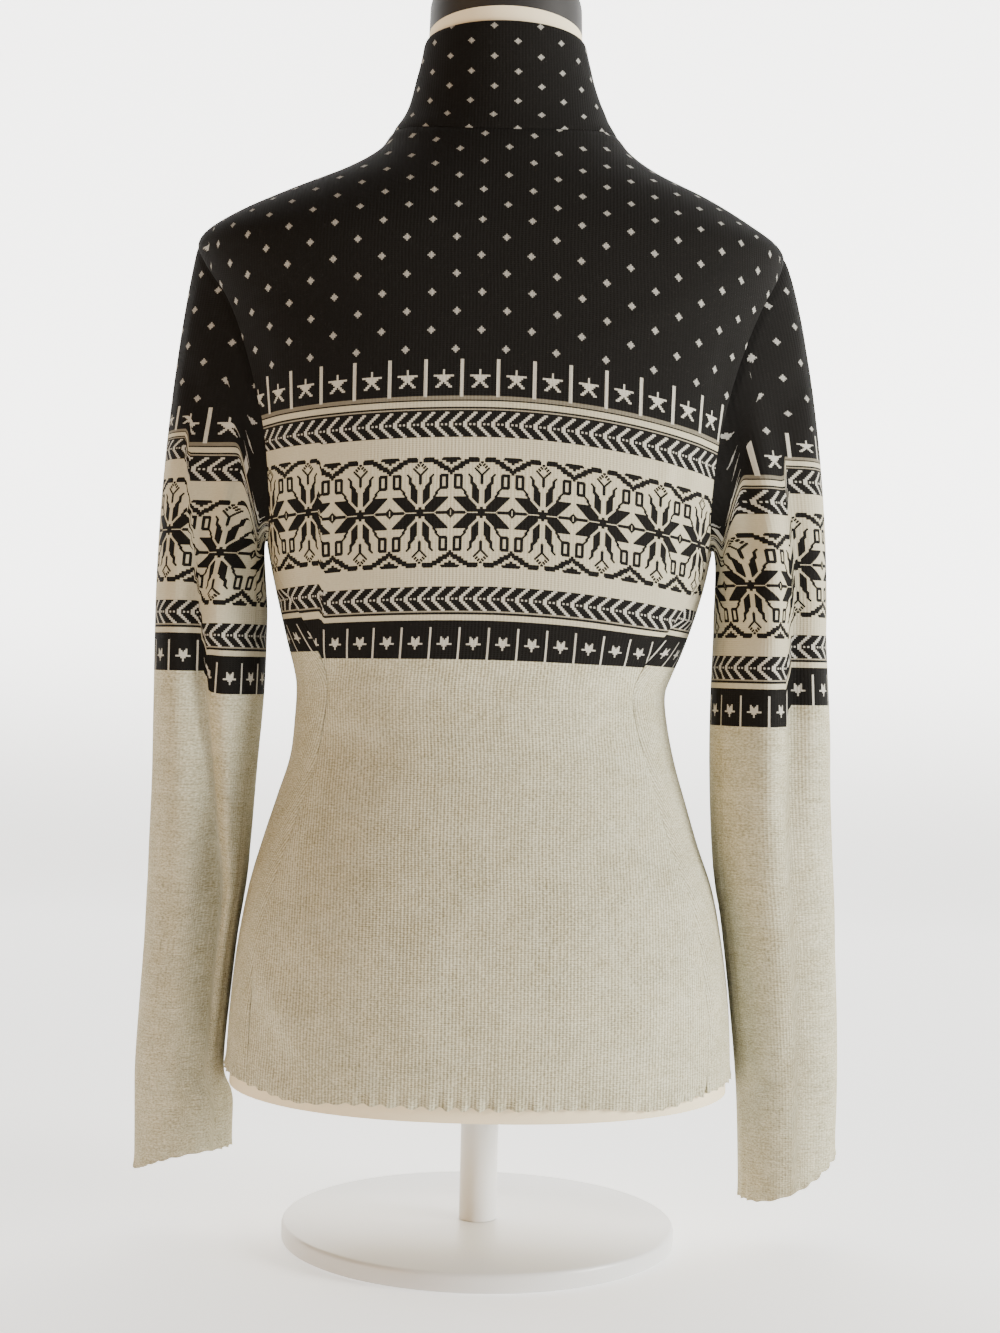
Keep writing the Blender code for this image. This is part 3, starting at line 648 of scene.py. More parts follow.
# zip: two tapes behind the cloth, teeth that lock in turn, and a row of stitches on each side
zipSizes = {
    "tapeInner": 0.25,
    "tapeWidth": 14.0,
    "tapeFace": -0.3,        # level from the cloth's inner face
    "tapeThickness": 1.0,
    "tapeColumns": 9,
    "tapeRows": 151,
    "toothSpacing": 1.25,
    "toothLevel": 1.0,
    "toothFoot": ((-0.75, -0.8, -0.5), (0.8, 0.8, 0.5)),
    "toothHead": ((0.6, -0.95, -0.56), (2.75, 0.95, 0.56)),
    "chainTop": 737.5,
    "openTeeth": (751.0, 761.5),    # above the slider
    "openSpread": 1.15,
    "boxHeight": 8.0,
    "boxHalfWidth": 2.75,
    "boxLevel": 1.1,
    "stitchSpacing": 3.1,
    "stitchFromZip": 5.4,
    "stitchLevel": 1.75,
    "stitchHalf": (0.3, 0.2, 1.15),
}


def makeTape(sideName, side):
    heights = np.linspace(cloth["hemHeight"] + 0.5, cloth["collarTop"] - 0.5, zipSizes["tapeRows"])
    heights = [float(h) for h in heights]
    fromZip = np.linspace(zipSizes["tapeInner"], zipSizes["tapeWidth"], zipSizes["tapeColumns"])
    arcRows = [side * (halfLength(h) - fromZip) for h in heights]
    points, normals = stackRows(heights, arcRows)
    outer = points + normals * zipSizes["tapeFace"]
    inner = outer - normals * zipSizes["tapeThickness"]
    uv = np.stack(np.meshgrid(side * fromZip, heights), axis=-1)
    return addShell(f"zipTape{sideName.capitalize()}", outer, inner, uv)


# a small solid with its edges taken off, from low and high corners in millimetres
def addBlocks(name, blocks, bevel=0.2):
    data = bmesh.new()
    for low, high in blocks:
        centre = [(a + b) / 2 for a, b in zip(low, high)]
        size = [b - a for a, b in zip(low, high)]
        cube = bmesh.ops.create_cube(data, size=1.0)
        bmesh.ops.scale(data, vec=size, verts=cube["verts"])
        bmesh.ops.translate(data, vec=centre, verts=cube["verts"])
    bmesh.ops.bevel(data, geom=list(data.edges), offset=bevel, segments=1, affect="EDGES")
    bmesh.ops.scale(data, vec=(metre, metre, metre), verts=data.verts)
    mesh = bpy.data.meshes.new(name)
    data.to_mesh(mesh)
    data.free()
    made = bpy.data.objects.new(name, mesh)
    bpy.context.collection.objects.link(made)
    return made


# lines to repeat a shape along: each point keeps its outward direction and its spread
def addGuide(name, lines):
    verts, edges, outward, spread = [], [], [], []
    for points, normals, apart in lines:
        first = len(verts)
        verts += (np.asarray(points) * metre).tolist()
        edges += [(first + k, first + k + 1) for k in range(len(points) - 1)]
        outward += np.asarray(normals).tolist()
        spread += [apart * metre] * len(points)
    mesh = bpy.data.meshes.new(name)
    mesh.from_pydata(verts, edges, [])
    outwardData = mesh.attributes.new("outward", "FLOAT_VECTOR", "POINT")
    outwardData.data.foreach_set("vector", np.array(outward, dtype=np.float32).reshape(-1))
    spreadData = mesh.attributes.new("spread", "FLOAT", "POINT")
    spreadData.data.foreach_set("value", np.array(spread, dtype=np.float32))
    made = bpy.data.objects.new(name, mesh)
    bpy.context.collection.objects.link(made)
    return made


# every other copy is turned half round, so that two rows of teeth face each other
def repeatGroup():
    group = bpy.data.node_groups.new("repeatAlong", "GeometryNodeTree")
    group.interface.new_socket("Guide", in_out="INPUT", socket_type="NodeSocketGeometry")
    group.interface.new_socket("Shape", in_out="INPUT", socket_type="NodeSocketObject")
    group.interface.new_socket("Spacing", in_out="INPUT", socket_type="NodeSocketFloat")
    group.interface.new_socket("Finish", in_out="INPUT", socket_type="NodeSocketMaterial")
    group.interface.new_socket("Copies", in_out="OUTPUT", socket_type="NodeSocketGeometry")
    g = Graph(group)
    source, result = g.add("NodeGroupInput"), g.add("NodeGroupOutput")
    curve = g.add("GeometryNodeMeshToCurve")
    g.feed(curve.inputs["Mesh"], source.outputs["Guide"])
    points = g.add("GeometryNodeResampleCurve", mode="LENGTH")
    g.feed(points.inputs["Curve"], curve.outputs["Curve"])
    g.feed(points.inputs["Length"], source.outputs["Spacing"])
    tangent = g.add("GeometryNodeInputTangent")
    outward = g.add("GeometryNodeInputNamedAttribute", data_type="FLOAT_VECTOR")
    outward.inputs["Name"].default_value = "outward"
    along = g.add("FunctionNodeAlignEulerToVector", axis="Z")
    g.feed(along.inputs["Vector"], tangent.outputs[0])
    facing = g.add("FunctionNodeAlignEulerToVector", axis="Y", pivot_axis="Z")
    g.feed(facing.inputs["Rotation"], along.outputs[0])
    g.feed(facing.inputs["Vector"], outward.outputs["Attribute"])
    shape = g.add("GeometryNodeObjectInfo")
    g.feed(shape.inputs["Object"], source.outputs["Shape"])
    copies = g.add("GeometryNodeInstanceOnPoints")
    g.feed(copies.inputs["Points"], points.outputs["Curve"])
    g.feed(copies.inputs["Instance"], shape.outputs["Geometry"])
    g.feed(copies.inputs["Rotation"], facing.outputs[0])
    index = g.add("GeometryNodeInputIndex")
    odd = g.add("ShaderNodeMath", operation="MODULO")
    g.feed(odd.inputs[0], index.outputs[0])
    odd.inputs[1].default_value = 2.0
    turned = g.add("GeometryNodeRotateInstances")
    g.feed(turned.inputs["Instances"], copies.outputs["Instances"])
    g.feed(turned.inputs["Selection"], odd.outputs[0])
    turned.inputs["Rotation"].default_value = (0.0, 0.0, math.pi)
    spread = g.add("GeometryNodeInputNamedAttribute", data_type="FLOAT")
    spread.inputs["Name"].default_value = "spread"
    aside = g.add("ShaderNodeCombineXYZ")
    g.feed(aside.inputs["X"], spread.outputs["Attribute"])
    moved = g.add("GeometryNodeTranslateInstances")
    g.feed(moved.inputs["Instances"], turned.outputs["Instances"])
    g.feed(moved.inputs["Translation"], aside.outputs[0])
    real = g.add("GeometryNodeRealizeInstances")
    g.feed(real.inputs["Geometry"], moved.outputs["Instances"])
    finish = g.add("GeometryNodeSetMaterial")
    g.feed(finish.inputs["Geometry"], real.outputs["Geometry"])
    g.feed(finish.inputs["Material"], source.outputs["Finish"])
    g.feed(result.inputs["Copies"], finish.outputs["Geometry"])
    return group


def repeatAlong(guide, group, **values):
    modifier = guide.modifiers.new("repeat", "NODES")
    modifier.node_group = group
    for item in group.interface.items_tree:
        if item.name in values:
            modifier[item.identifier] = values[item.name]
    bpy.context.view_layer.update()
    evaluated = guide.evaluated_get(bpy.context.evaluated_depsgraph_get())
    mesh = bpy.data.meshes.new_from_object(evaluated)
    guide.modifiers.clear()
    guide.data = mesh
    return guide


def frontLine(low, high, level, fromZip=0.0, side=1.0, step=4.0):
    heights = np.linspace(low, high, max(3, int((high - low) / step)))
    rows = [(skinRow(h, [side * (halfLength(h) - fromZip)])[0],
             skinNormals(h, [side * (halfLength(h) - fromZip)])[0]) for h in heights]
    points = np.array([point + level * normal for point, normal in rows])
    return points, np.array([normal for _, normal in rows])


# sleeves. Turn 0 is the outer edge, pi / 2 the back, pi the inner edge, all in radians
# creases: from turn, from height, bend, to; width and depth in millimetres
sleeves = {
    "headHeight": 390.0,
    "turns": 112,
    "capRows": (0.0, 0.7, 1.6, 2.8, 4.4, 6.6, 9.2, 12.2),
    "rowStep": 3.4,
    "creaseOuter": 0.44,
    "creaseInner": 0.2,
    "seamTurn": 2.7,
    "seamDepth": -0.9,
    "seamWidth": 1.7,
    "paintedShadeRise": 62.0,      # of the rows drawn down as painted shade into the fold beside the armhole
    "paintedShadeWidth": 17.0,
    "paintedShadeFrom": (1.3, 1.6),
    "paintedShadeTo": (2.5, 2.9),
    "riseFade": (492.0, 532.0),
    "cuffFade": 60.0,
    "cuffRows": (30.0, 26.5, 23.0, 19.5, 16.0, 13.0, 10.5, 8.2, 6.2, 4.4, 2.8, 1.6, 0.7, 0.0),
    "left": {
        "side": -1,
        "hang": hangTable["left"],
        "capBulge": -3.0,
        "cuff": 47.5,
        "outerCuffRise": -7.5,
        "backCuffRise": 4.5,
        "patternDrop": 25.0,
        "outerRise": 14.0,
        "creases": (
            (0.5, 560, 0.9, 540, 1.3, 506, 8.0, -1.3),
            (1.95, 548, 1.85, 484, 2.05, 418, 9.0, -4.2),
            (2.3, 440, 1.9, 420, 1.5, 372, 7.0, 1.5),
            (2.5, 402, 2.0, 372, 1.4, 352, 9.0, -1.2),
            (1.8, 342, 1.5, 300, 1.62, 232, 9.0, 1.2),
            (2.6, 330, 2.1, 310, 1.6, 322, 9.0, 0.9),
            (0.3, 330, 0.5, 270, 0.35, 196, 10.0, 0.9),
            (2.4, 250, 1.9, 226, 1.5, 236, 10.0, -0.8),
            (1.3, 170, 1.7, 140, 2.3, 118, 10.0, 0.8),
            (-0.6, 520, -1.0, 470, -1.2, 420, 9.0, -1.5),
            (-2.4, 430, -1.8, 404, -1.3, 392, 8.0, 1.5),
            (-2.3, 350, -1.7, 330, -1.2, 300, 10.0, -1.3),
            (-1.9, 260, -1.6, 210, -1.7, 150, 10.0, 1.0),
        ),
    },
    "right": {
        "side": 1,
        "hang": hangTable["right"],
        "capBulge": 1.5,
        "cuff": 44.0,
        "outerCuffRise": 14.0,
        "backCuffRise": -7.0,
        "patternDrop": 38.0,
        "outerRise": 14.0,
        "creases": (
            (0.4, 566, 0.8, 548, 1.2, 520, 9.0, -1.2),
            (1.9, 552, 1.85, 490, 2.05, 416, 9.0, -4.4),
            (2.4, 446, 2.0, 432, 1.5, 440, 7.0, 1.4),
            (2.5, 396, 2.0, 384, 1.3, 396, 8.0, -1.3),
            (1.5, 330, 1.8, 290, 1.6, 214, 10.0, 1.0),
            (2.5, 318, 2.1, 300, 1.7, 282, 9.0, -0.9),
            (0.3, 350, 0.45, 280, 0.3, 210, 11.0, 0.8),
            (2.3, 232, 1.9, 200, 1.4, 190, 11.0, 0.8),
            (1.2, 142, 1.6, 116, 2.2, 104, 10.0, -0.8),
            (-0.6, 530, -1.0, 480, -1.3, 430, 9.0, -1.4),
            (-2.4, 440, -1.8, 416, -1.3, 398, 8.0, 1.5),
            (-2.2, 340, -1.7, 326, -1.2, 304, 10.0, -1.2),
            (-1.9, 250, -1.6, 200, -1.75, 148, 10.0, 1.0),
        ),
    },
}


def armholePoint(side, turn):
    middle = (cloth["underarm"] + cloth["shoulder"]) / 2
    radius = (cloth["shoulder"] - cloth["underarm"]) / 2
    height = middle + radius * math.cos(turn)
    centre = cloth["armholeBottomY"] * (1.0 - math.cos(turn)) / 2
    arc = side * arcAtY(height, centre - cloth["armholeDepth"] * math.sin(turn))
    return skinRow(height, [arc])[0], skinNormals(height, [arc])[0]


def armholeInward(side, turn, normal):
    before = armholePoint(side, turn - 0.02)[0]
    after = armholePoint(side, turn + 0.02)[0]
    inward = np.cross(normal, after - before)
    inward /= np.linalg.norm(inward)
    centre = armholePoint(side, turn + math.pi if turn <= 0.0 else turn - math.pi)[0]
    here = armholePoint(side, turn)[0]
    return inward if np.dot(inward, centre - here) > 0.0 else -inward


def sleeveRing(choice, height, turns):
    innerX, outerX, halfDepth, yMiddle = readTable(sleeveTable, height)
    innerIn, outerIn, creaseTurn, crease = readTable(choice["hang"], height)
    innerX += innerIn
    outerX -= outerIn
    halfX = (outerX - innerX - cloth["solidWall"]) / 2
    x = (innerX + outerX) / 2 + halfX * np.cos(turns)
    y = yMiddle - (halfDepth - cloth["solidWall"] / 2) * np.sin(turns)
    # the crease falls off gently towards the outer edge and steeply towards the inner one
    away = np.abs(turns) - creaseTurn
    width = np.where(away < 0.0, sleeves["creaseOuter"], sleeves["creaseInner"])
    pinch = crease * np.exp(-(away / width) ** 2)
    y = y + np.sign(turns) * pinch * (np.abs(turns) > 1e-6)
    return np.stack((choice["side"] * x, y, np.full_like(x, height)), axis=-1)


# a curve from the armhole's edge, over the seam and down into the straight sleeve
def capCurve(choice, turn, headPoint, ts):
    edge, normal = armholePoint(choice["side"], turn)
    inward = armholeInward(choice["side"], turn, normal)
    along, outward, rise, drift = readTable(capHandles, math.degrees(abs(turn)))
    outward += choice["capBulge"] * max(math.cos(turn), 0.0)
    start = edge + normal * (cloth["solidWall"] / 2) + inward * cloth["seamGap"]
    out = np.array((choice["side"], 0.0, 0.0))
    first = start + inward * along + out * outward
    second = headPoint + np.array((0.0, 0.0, rise)) + out * drift
    t = ts[:, None]
    return ((1 - t) ** 3 * start + 3 * t * (1 - t) ** 2 * first
            + 3 * t * t * (1 - t) * second + t ** 3 * headPoint)


def capSpacing(choice, headPoint):
    ts = np.linspace(0.0, 1.0, 600)
    curve = capCurve(choice, 0.0, headPoint, ts)
    path = np.concatenate(((0.0,), np.cumsum(np.linalg.norm(np.diff(curve, axis=0), axis=-1))))
    first = np.array(sleeves["capRows"])
    count = int(round((path[-1] - first[-1]) / sleeves["rowStep"]))
    places = np.concatenate((first, np.linspace(first[-1], path[-1], count + 1)[1:]))
    return np.interp(places, path, ts)


def makeSleeve(sideName):
    choice = sleeves[sideName]
    side = choice["side"]
    count = sleeves["turns"]
    turns = math.pi - 2 * math.pi * np.arange(count) / count
    turns = np.where(turns <= -math.pi + 1e-9, math.pi, turns)
    head = sleeveRing(choice, sleeves["headHeight"], turns)
    ts = capSpacing(choice, head[int(np.argmin(np.abs(turns)))])
    cap = np.zeros((len(ts), count, 3))
    firstNormals = np.zeros((count, 3))
    for j, turn in enumerate(turns):
        cap[:, j] = capCurve(choice, float(turn), head[j], ts)
        firstNormals[j] = armholePoint(side, float(turn))[1]
    cuffBand = choice["cuff"] + np.array(sleeves["cuffRows"])
    straight = np.arange(sleeves["headHeight"] - sleeves["rowStep"], cuffBand[0] + 1.0,
                         -sleeves["rowStep"])
    rings = [sleeveRing(choice, float(h), turns) for h in np.concatenate((straight, cuffBand))]
    # the cuff isn't level: its slant fades out over the lower sleeve
    nominal = np.concatenate((straight, cuffBand))
    fade = 1.0 - smooth(choice["cuff"], choice["cuff"] + sleeves["cuffFade"], nominal)
    for ring, share in zip(rings, fade):
        ring[:, 2] += share * (choice["outerCuffRise"] * np.cos(turns)
                               + choice["backCuffRise"] * np.sin(turns) ** 2)
    grid = np.concatenate((cap, np.stack(rings)))
    rowsAway = np.concatenate((cap[:, :, 2], np.repeat(nominal[:, None], count, axis=1)))

    around = np.roll(grid, -1, axis=1) - np.roll(grid, 1, axis=1)
    up = np.zeros_like(grid)
    up[1:-1] = grid[:-2] - grid[2:]
    up[0] = grid[0] - grid[1]
    up[-1] = grid[-2] - grid[-1]
    normals = np.cross(around, up)
    normals /= np.linalg.norm(normals, axis=-1, keepdims=True)
    outerColumn = int(np.argmin(np.abs(turns)))
    if normals[-1, outerColumn, 0] * side < 0.0:
        normals = -normals
    weight = (1.0 - smooth(0.0, 5.0, np.arange(len(grid))))[:, None, None]
    normals = normals * (1.0 - weight) + firstNormals[None] * weight
    normals /= np.linalg.norm(normals, axis=-1, keepdims=True)

    # the map: level distance from the outer edge, and length up the outer edge
    closed = np.concatenate((grid, grid[:, :1]), axis=1)
    seam = np.linalg.norm(np.diff(closed[..., :2], axis=1), axis=-1)
    lengths = np.concatenate((np.zeros((len(grid), 1)), np.cumsum(seam, axis=1)), axis=1)
    headRow = len(ts) - 1
    u = (lengths - lengths[:, outerColumn:outerColumn + 1]) * side
    u[headRow:] = u[headRow]
    steps = np.linalg.norm(np.diff(grid, axis=0), axis=-1)
    path = np.concatenate((np.zeros((1, count)), np.cumsum(steps, axis=0)))
    outerPath = path[headRow, outerColumn] - path[:headRow + 1, outerColumn]
    outerZ = grid[:headRow + 1, outerColumn, 2]
    v = sleeves["headHeight"] + path[headRow][None, :] - path
    v[:headRow] = sleeves["headHeight"] + np.interp(grid[:headRow, :, 2], outerZ[::-1],
                                                    outerPath[::-1])
    v = v + choice["patternDrop"]
    creaseTurns = np.interp(rowsAway, choice["hang"][:, 0], choice["hang"][:, 3])
    away = np.abs(turns)[None, :] - creaseTurns
    outerStrip = 1.0 - smooth(-0.02, 0.04, away)
    # beside the armhole the dark yoke rows are drawn down into the fold: painted shade standing in for
    # the fold's shadow
    fromOuter = np.abs(turns)
    paintedShadeBand = (smooth(*sleeves["paintedShadeFrom"], fromOuter)
                 * (1.0 - smooth(*sleeves["paintedShadeTo"], fromOuter)))
    pull = np.exp(-(path / sleeves["paintedShadeWidth"]) ** 4) * paintedShadeBand[None, :]
    v = v + sleeves["paintedShadeRise"] * pull
    closing = smooth(*sleeves["riseFade"], rowsAway)
    v = v - choice["outerRise"] * outerStrip * (1.0 - closing)
    uv = np.stack((u, np.concatenate((v, v[:, :1]), axis=1)), axis=-1)

    turnWide = lengths[headRow, -1] / (2 * math.pi)
    flatU = np.repeat((turns * turnWide)[None, :], len(grid), axis=0)
    marks = [(a * turnWide, b, c * turnWide, d, e * turnWide, f, g, h)
             for a, b, c, d, e, f, g, h in choice["creases"]]
    lift = creaseField(flatU, rowsAway, marks)
    fromSleeveSeam = flatU - sleeves["seamTurn"] * turnWide
    lift += sleeves["seamDepth"] * np.exp(-(fromSleeveSeam / sleeves["seamWidth"]) ** 2)
    lift += seamDips((path,))
    fromCuff = np.repeat((nominal - choice["cuff"])[:, None], count, axis=1)
    fromCuff = np.concatenate((np.full((len(cap), count), 1e3), fromCuff))
    lift += lettuce(flatU, fromCuff, amplitude=1.3, wave=12.0)
    grid[..., 2] += lettuce(flatU + 3.0, fromCuff, amplitude=0.9, wave=12.0)
    outer = grid + normals * (lift + cloth["thickness"] / 2)[..., None]
    inner = grid + normals * (lift - cloth["thickness"] / 2)[..., None]
    return addShell(f"sleevePiece{sideName.capitalize()}", outer, inner, uv, around=True)


print("cloth: sleeves")
sleeveLeft = makeSleeve("left")
sleeveRight = makeSleeve("right")

# the form under the jacket, its cap and the stand
formSizes = {
    "columns": 168,
    "rowStep": 6.0,
    "bottom": 95.0,
    "flatShare": 0.5,        # of the lower end, where the pole meets it
    "neckTop": 771.0,
    "capTop": 800.0,
    "recessDepth": 1.1,      # of the channel that the tapes lie in
    "recessFrom": 14.0,
    "recessReach": 17.0,
    "coverAngle": 38.0,
}

# height, gap between the form's cover and the inside of the cloth
clearanceTable = np.array((
    (96.0, 1.4),
    (300.0, 1.25),
    (570.0, 1.3),
    (605.0, 2.2),
    (650.0, 2.2),
    (685.0, 1.5),
    (764.0, 1.2),
))


def addStack(name, rings):
    count = len(rings[0])
    verts = np.concatenate(rings) * metre
    here = np.arange(count)
    right = (here + 1) % count
    faces = []
    for k in range(len(rings) - 1):
        low, high = k * count, (k + 1) * count
        faces += np.stack((low + here, low + right, high + right, high + here), axis=-1).tolist()
    faces.append(list(range(count))[::-1])
    faces.append([len(verts) - count + k for k in range(count)])
    mesh = bpy.data.meshes.new(name)
    mesh.from_pydata(verts.tolist(), [], faces)
    data = bmesh.new()
    data.from_mesh(mesh)
    bmesh.ops.recalc_face_normals(data, faces=data.faces)
    data.to_mesh(mesh)
    data.free()
    mesh.shade_smooth()
    mesh.set_sharp_from_angle(angle=math.radians(formSizes["coverAngle"]))
    made = bpy.data.objects.new(name, mesh)
    bpy.context.collection.objects.link(made)
    return made


def formRing(height, extra=0.0):
    count = formSizes["columns"]
    arcs = halfLength(height) * (2.0 * np.arange(count) / count - 1.0)
    fromZip = halfLength(height) - np.abs(arcs)
    reach = smooth(formSizes["recessFrom"], formSizes["recessReach"], fromZip)
    recess = formSizes["recessDepth"] * (1.0 - reach)
    inset = readStraight(clearanceTable, height)[0] + extra + recess
    return skinRow(height, arcs) - skinNormals(height, arcs) * inset[:, None]


def roundRing(radius, height, count=96):
    angle = 2 * math.pi * np.arange(count) / count
    return np.stack((radius * np.cos(angle), radius * np.sin(angle), np.full(count, height)), -1)


print("form and stand")
formHeights = np.concatenate((np.arange(formSizes["bottom"], formSizes["neckTop"] - 2.0,
                                        formSizes["rowStep"]), (formSizes["neckTop"],)))
lowEdge = formRing(formSizes["bottom"])
flatEnd = np.stack((lowEdge[:, 0] * formSizes["flatShare"], lowEdge[:, 1] * formSizes["flatShare"],
                    np.full(len(lowEdge), formSizes["bottom"])), axis=-1)
formBody = addStack("formBody", [flatEnd] + [formRing(float(h)) for h in formHeights])
# height and how far in
capLevels = ((771.3, 0.0), (780.0, 0.05), (788.0, 0.3), (791.0, 0.9), (793.4, 1.9), (795.4, 3.3),
             (797.2, 5.4), (798.6, 8.2), (799.6, 12.0), (800.0, 17.0))
formCap = addStack("formCap", [formRing(height, inset) for height, inset in capLevels])
# radius and height
standBase = addStack("standBase", [roundRing(*level) for level in (
    (123.4, 0.0), (124.6, 0.6), (125.0, 1.8), (125.0, 9.4), (124.7, 10.6), (124.0, 11.5),
    (122.8, 12.0))])
standPole = addStack("standPole", [roundRing(*level) for level in (
    (12.0, 12.3), (12.0, 85.0), (12.3, 87.5), (13.4, 89.2), (15.0, 90.4), (31.0, 91.1),
    (32.0, 91.8), (32.0, 94.0), (31.4, 94.7))])

# knitting charts. Each is read from its middle outwards, x is a dark stitch of the rose
# and a light one of the stars and feathers
roseChart = (            # rows from the middle of the rose up, columns from its middle out
    "xx......xxxxxxx.",
    "xxxxxxxx......x.",
    "x..xxxxxx......x",
    "...xxxxxxx......",
    "....xxxxxxx.....",
    "..x..xxxxxxx....",
    "..xx..xxxxxxx...",
    "..xxx..xxxxxxx..",
    "..xxx..x........",
    "..xxx...x.......",
    "..xxx...x.......",
    "..xxx....x......",
    "...xx.....xxxx..",
    "...xx.....x..x..",
    "x...xx....x..x..",
    "x....x....x..x..",
    "x....x....x..x..",
    "x....x....x..x..",
    "x.....x...xxxx..",
    ".x.............x",
    "..x...........xx",
    "...x........xxx.",
    "..x.......xxxx..",
    ".x.......xxx....",
    "x......xxxx....x",
    "..xxxxxxx....xxx",
    "..xxxxx....xxxxx",
)
starChart = (            # one half of an upright star, rows from the feet up
    "...xx...",
    "..xx....",
    ".xx.....",
    "xx......",
    "xxx.....",
    "xxxx....",
    "xxxxxx..",
    "x.......",
    "x.......",
    "x.......",
)
boxStarChart = (         # the box band's star stands on its point
    "x.......",
    "x.......",
    "xx......",
    "xxxxx...",
    "xxx.....",
    "xxx.....",
    ".xx.....",
    "..x.....",
)
featherChart = (         # from the spine of the feather outwards, one repeat across
    "xx.x.x.",
    "xx.....",
    ".xx....",
    "..xx...",
    "...xx..",
    "....xx.",
    ".....xx",
)

# bands of the pattern: heights up the cloth and stitch sizes, in millimetres
pattern = {
    "dotsFrom": 550.0, "dotAcross": 29.8, "dotUp": 11.5, "dotStart": 7.7, "dotRow": 553.0,
    "dotStitch": 0.93,
    "starLow": 524.6, "starHigh": 547.0, "starRepeat": 21.5, "starStart": -7.2,
    "starFeet": 530.1, "starStitch": 1.08, "lineHalf": 1.05,
    "thinHigh": 525.2, "thinLow": 522.9, "thickHigh": 522.1, "thickLow": 518.7,
    "hairHigh": 517.6, "hairLow": 516.8,
    "featherMiddle": 508.4, "featherHalf": 7.3, "featherMiddle2": 405.5, "featherStitch": 1.19,
    "featherPitch": 1.13,
    "darkSpread": 0.27, "roseMiddle": 456.6, "roseRow": 1.217, "roseRepeat": 36.5, "roseStart": -4.8,
    "roseStitches": 30.0,
    "creamLow": 412.9, "creamHigh": 500.9,
    "thick2High": 396.0, "thick2Low": 392.6, "hair2High": 398.3, "hair2Low": 397.4,
    "boxLow": 369.0, "boxHigh": 388.3, "boxRepeat": 17.5, "boxStart": -6.6,
    "boxStarFeet": 374.8, "boxStitch": 0.98, "boxLineHalf": 0.6,
}

yarns = {
    "black": (0.0072, 0.0066, 0.0058),
    "dot": (0.30, 0.29, 0.26),
    "star": (0.43, 0.41, 0.35),
    "cream": (0.45, 0.41, 0.295),
    "heather": (0.50, 0.445, 0.325),
    "heatherDark": (0.25, 0.22, 0.13),
    "heatherPale": (0.66, 0.61, 0.43),
    "coolDark": (0.22, 0.225, 0.165),
    "coolPale": (0.56, 0.565, 0.47),
}


class Graph:
    def __init__(self, tree):
        self.tree = tree
        self.column = 0

    def add(self, kind, **settings):
        node = self.tree.nodes.new(kind)
        self.column += 1
        node.location = (self.column % 24 * 180, -(self.column // 24) * 220)
        for key, value in settings.items():
            setattr(node, key, value)
        return node

    def feed(self, socket, value):
        if isinstance(value, bpy.types.NodeSocket):
            self.tree.links.new(value, socket)
        else:
            socket.default_value = value

    def math(self, operation, first, second=None, third=None):
        node = self.add("ShaderNodeMath", operation=operation)
        for k, value in enumerate((first, second, third)):
            if value is not None:
                self.feed(node.inputs[k], value)
        return node.outputs[0]

    def within(self, value, low, high):
        above = self.math("GREATER_THAN", value, low)
        below = self.math("LESS_THAN", value, high)
        return self.math("MULTIPLY", above, below)

    def mix(self, factor, first, second):
        node = self.add("ShaderNodeMix", data_type="RGBA")
        self.feed(node.inputs[0], factor)
        for k, value in ((6, first), (7, second)):
            self.feed(node.inputs[k], (*value, 1.0) if isinstance(value, tuple) else value)
        return node.outputs[2]

    def choose(self, factor, first, second):
        node = self.add("ShaderNodeMix", data_type="FLOAT")
        self.feed(node.inputs[0], factor)
        self.feed(node.inputs[2], first)
        self.feed(node.inputs[3], second)
        return node.outputs[0]

    def noise(self, vector, scale, detail=2.0, rough=0.5):
        node = self.add("ShaderNodeTexNoise")
        self.feed(node.inputs["Vector"], vector)
        self.feed(node.inputs["Scale"], scale)
        self.feed(node.inputs["Detail"], detail)
        self.feed(node.inputs["Roughness"], rough)
        return node.outputs["Fac"]


rampSteps = 32.0
channelStitches = 8
fullChannel = 255.0


def chartNumber(row, first):
    return sum(1 << k for k in range(channelStitches) if row[first + k:first + k + 1] == "x")


# a chart becomes a ramp of 32 steps, whose channels hold eight stitches of a row each
def chartRamp(graph, rowNumber, channels):
    ramp = graph.add("ShaderNodeValToRGB")
    ramp.color_ramp.interpolation = "CONSTANT"
    place = graph.math("DIVIDE", graph.math("ADD", rowNumber, 0.5), rampSteps)
    graph.feed(ramp.inputs[0], place)
    stops = ramp.color_ramp.elements
    rows = max(len(numbers) for numbers in channels)
    while len(stops) > 1:
        stops.remove(stops[-1])
    for k in range(rows + 1):
        stop = stops[0] if k == 0 else stops.new(k / rampSteps)
        stop.position = k / rampSteps
        colour = [numbers[k] / fullChannel if k < len(numbers) else 0.0 for numbers in channels]
        stop.color = (*colour, 1.0)
    split = graph.add("ShaderNodeSeparateColor")
    graph.feed(split.inputs[0], ramp.outputs[0])
    return split.outputs


def stitchBit(graph, number, columnNumber):
    whole = graph.math("FLOOR", graph.math("MULTIPLY_ADD", number, fullChannel, 0.5))
    power = graph.math("POWER", 2.0, columnNumber)
    halved = graph.math("FLOOR", graph.math("DIVIDE", whole, power))
    bit = graph.math("MODULO", halved, 2.0)
    fits = graph.within(columnNumber, -0.5, channelStitches - 0.5)
    return graph.math("MULTIPLY", bit, fits)


def repeatAround(graph, value, start, repeat):
    moved = graph.math("ADD", graph.math("SUBTRACT", value, start), repeat / 2)
    wrapped = graph.math("FLOORED_MODULO", moved, repeat)
    return graph.math("SUBTRACT", wrapped, repeat / 2)


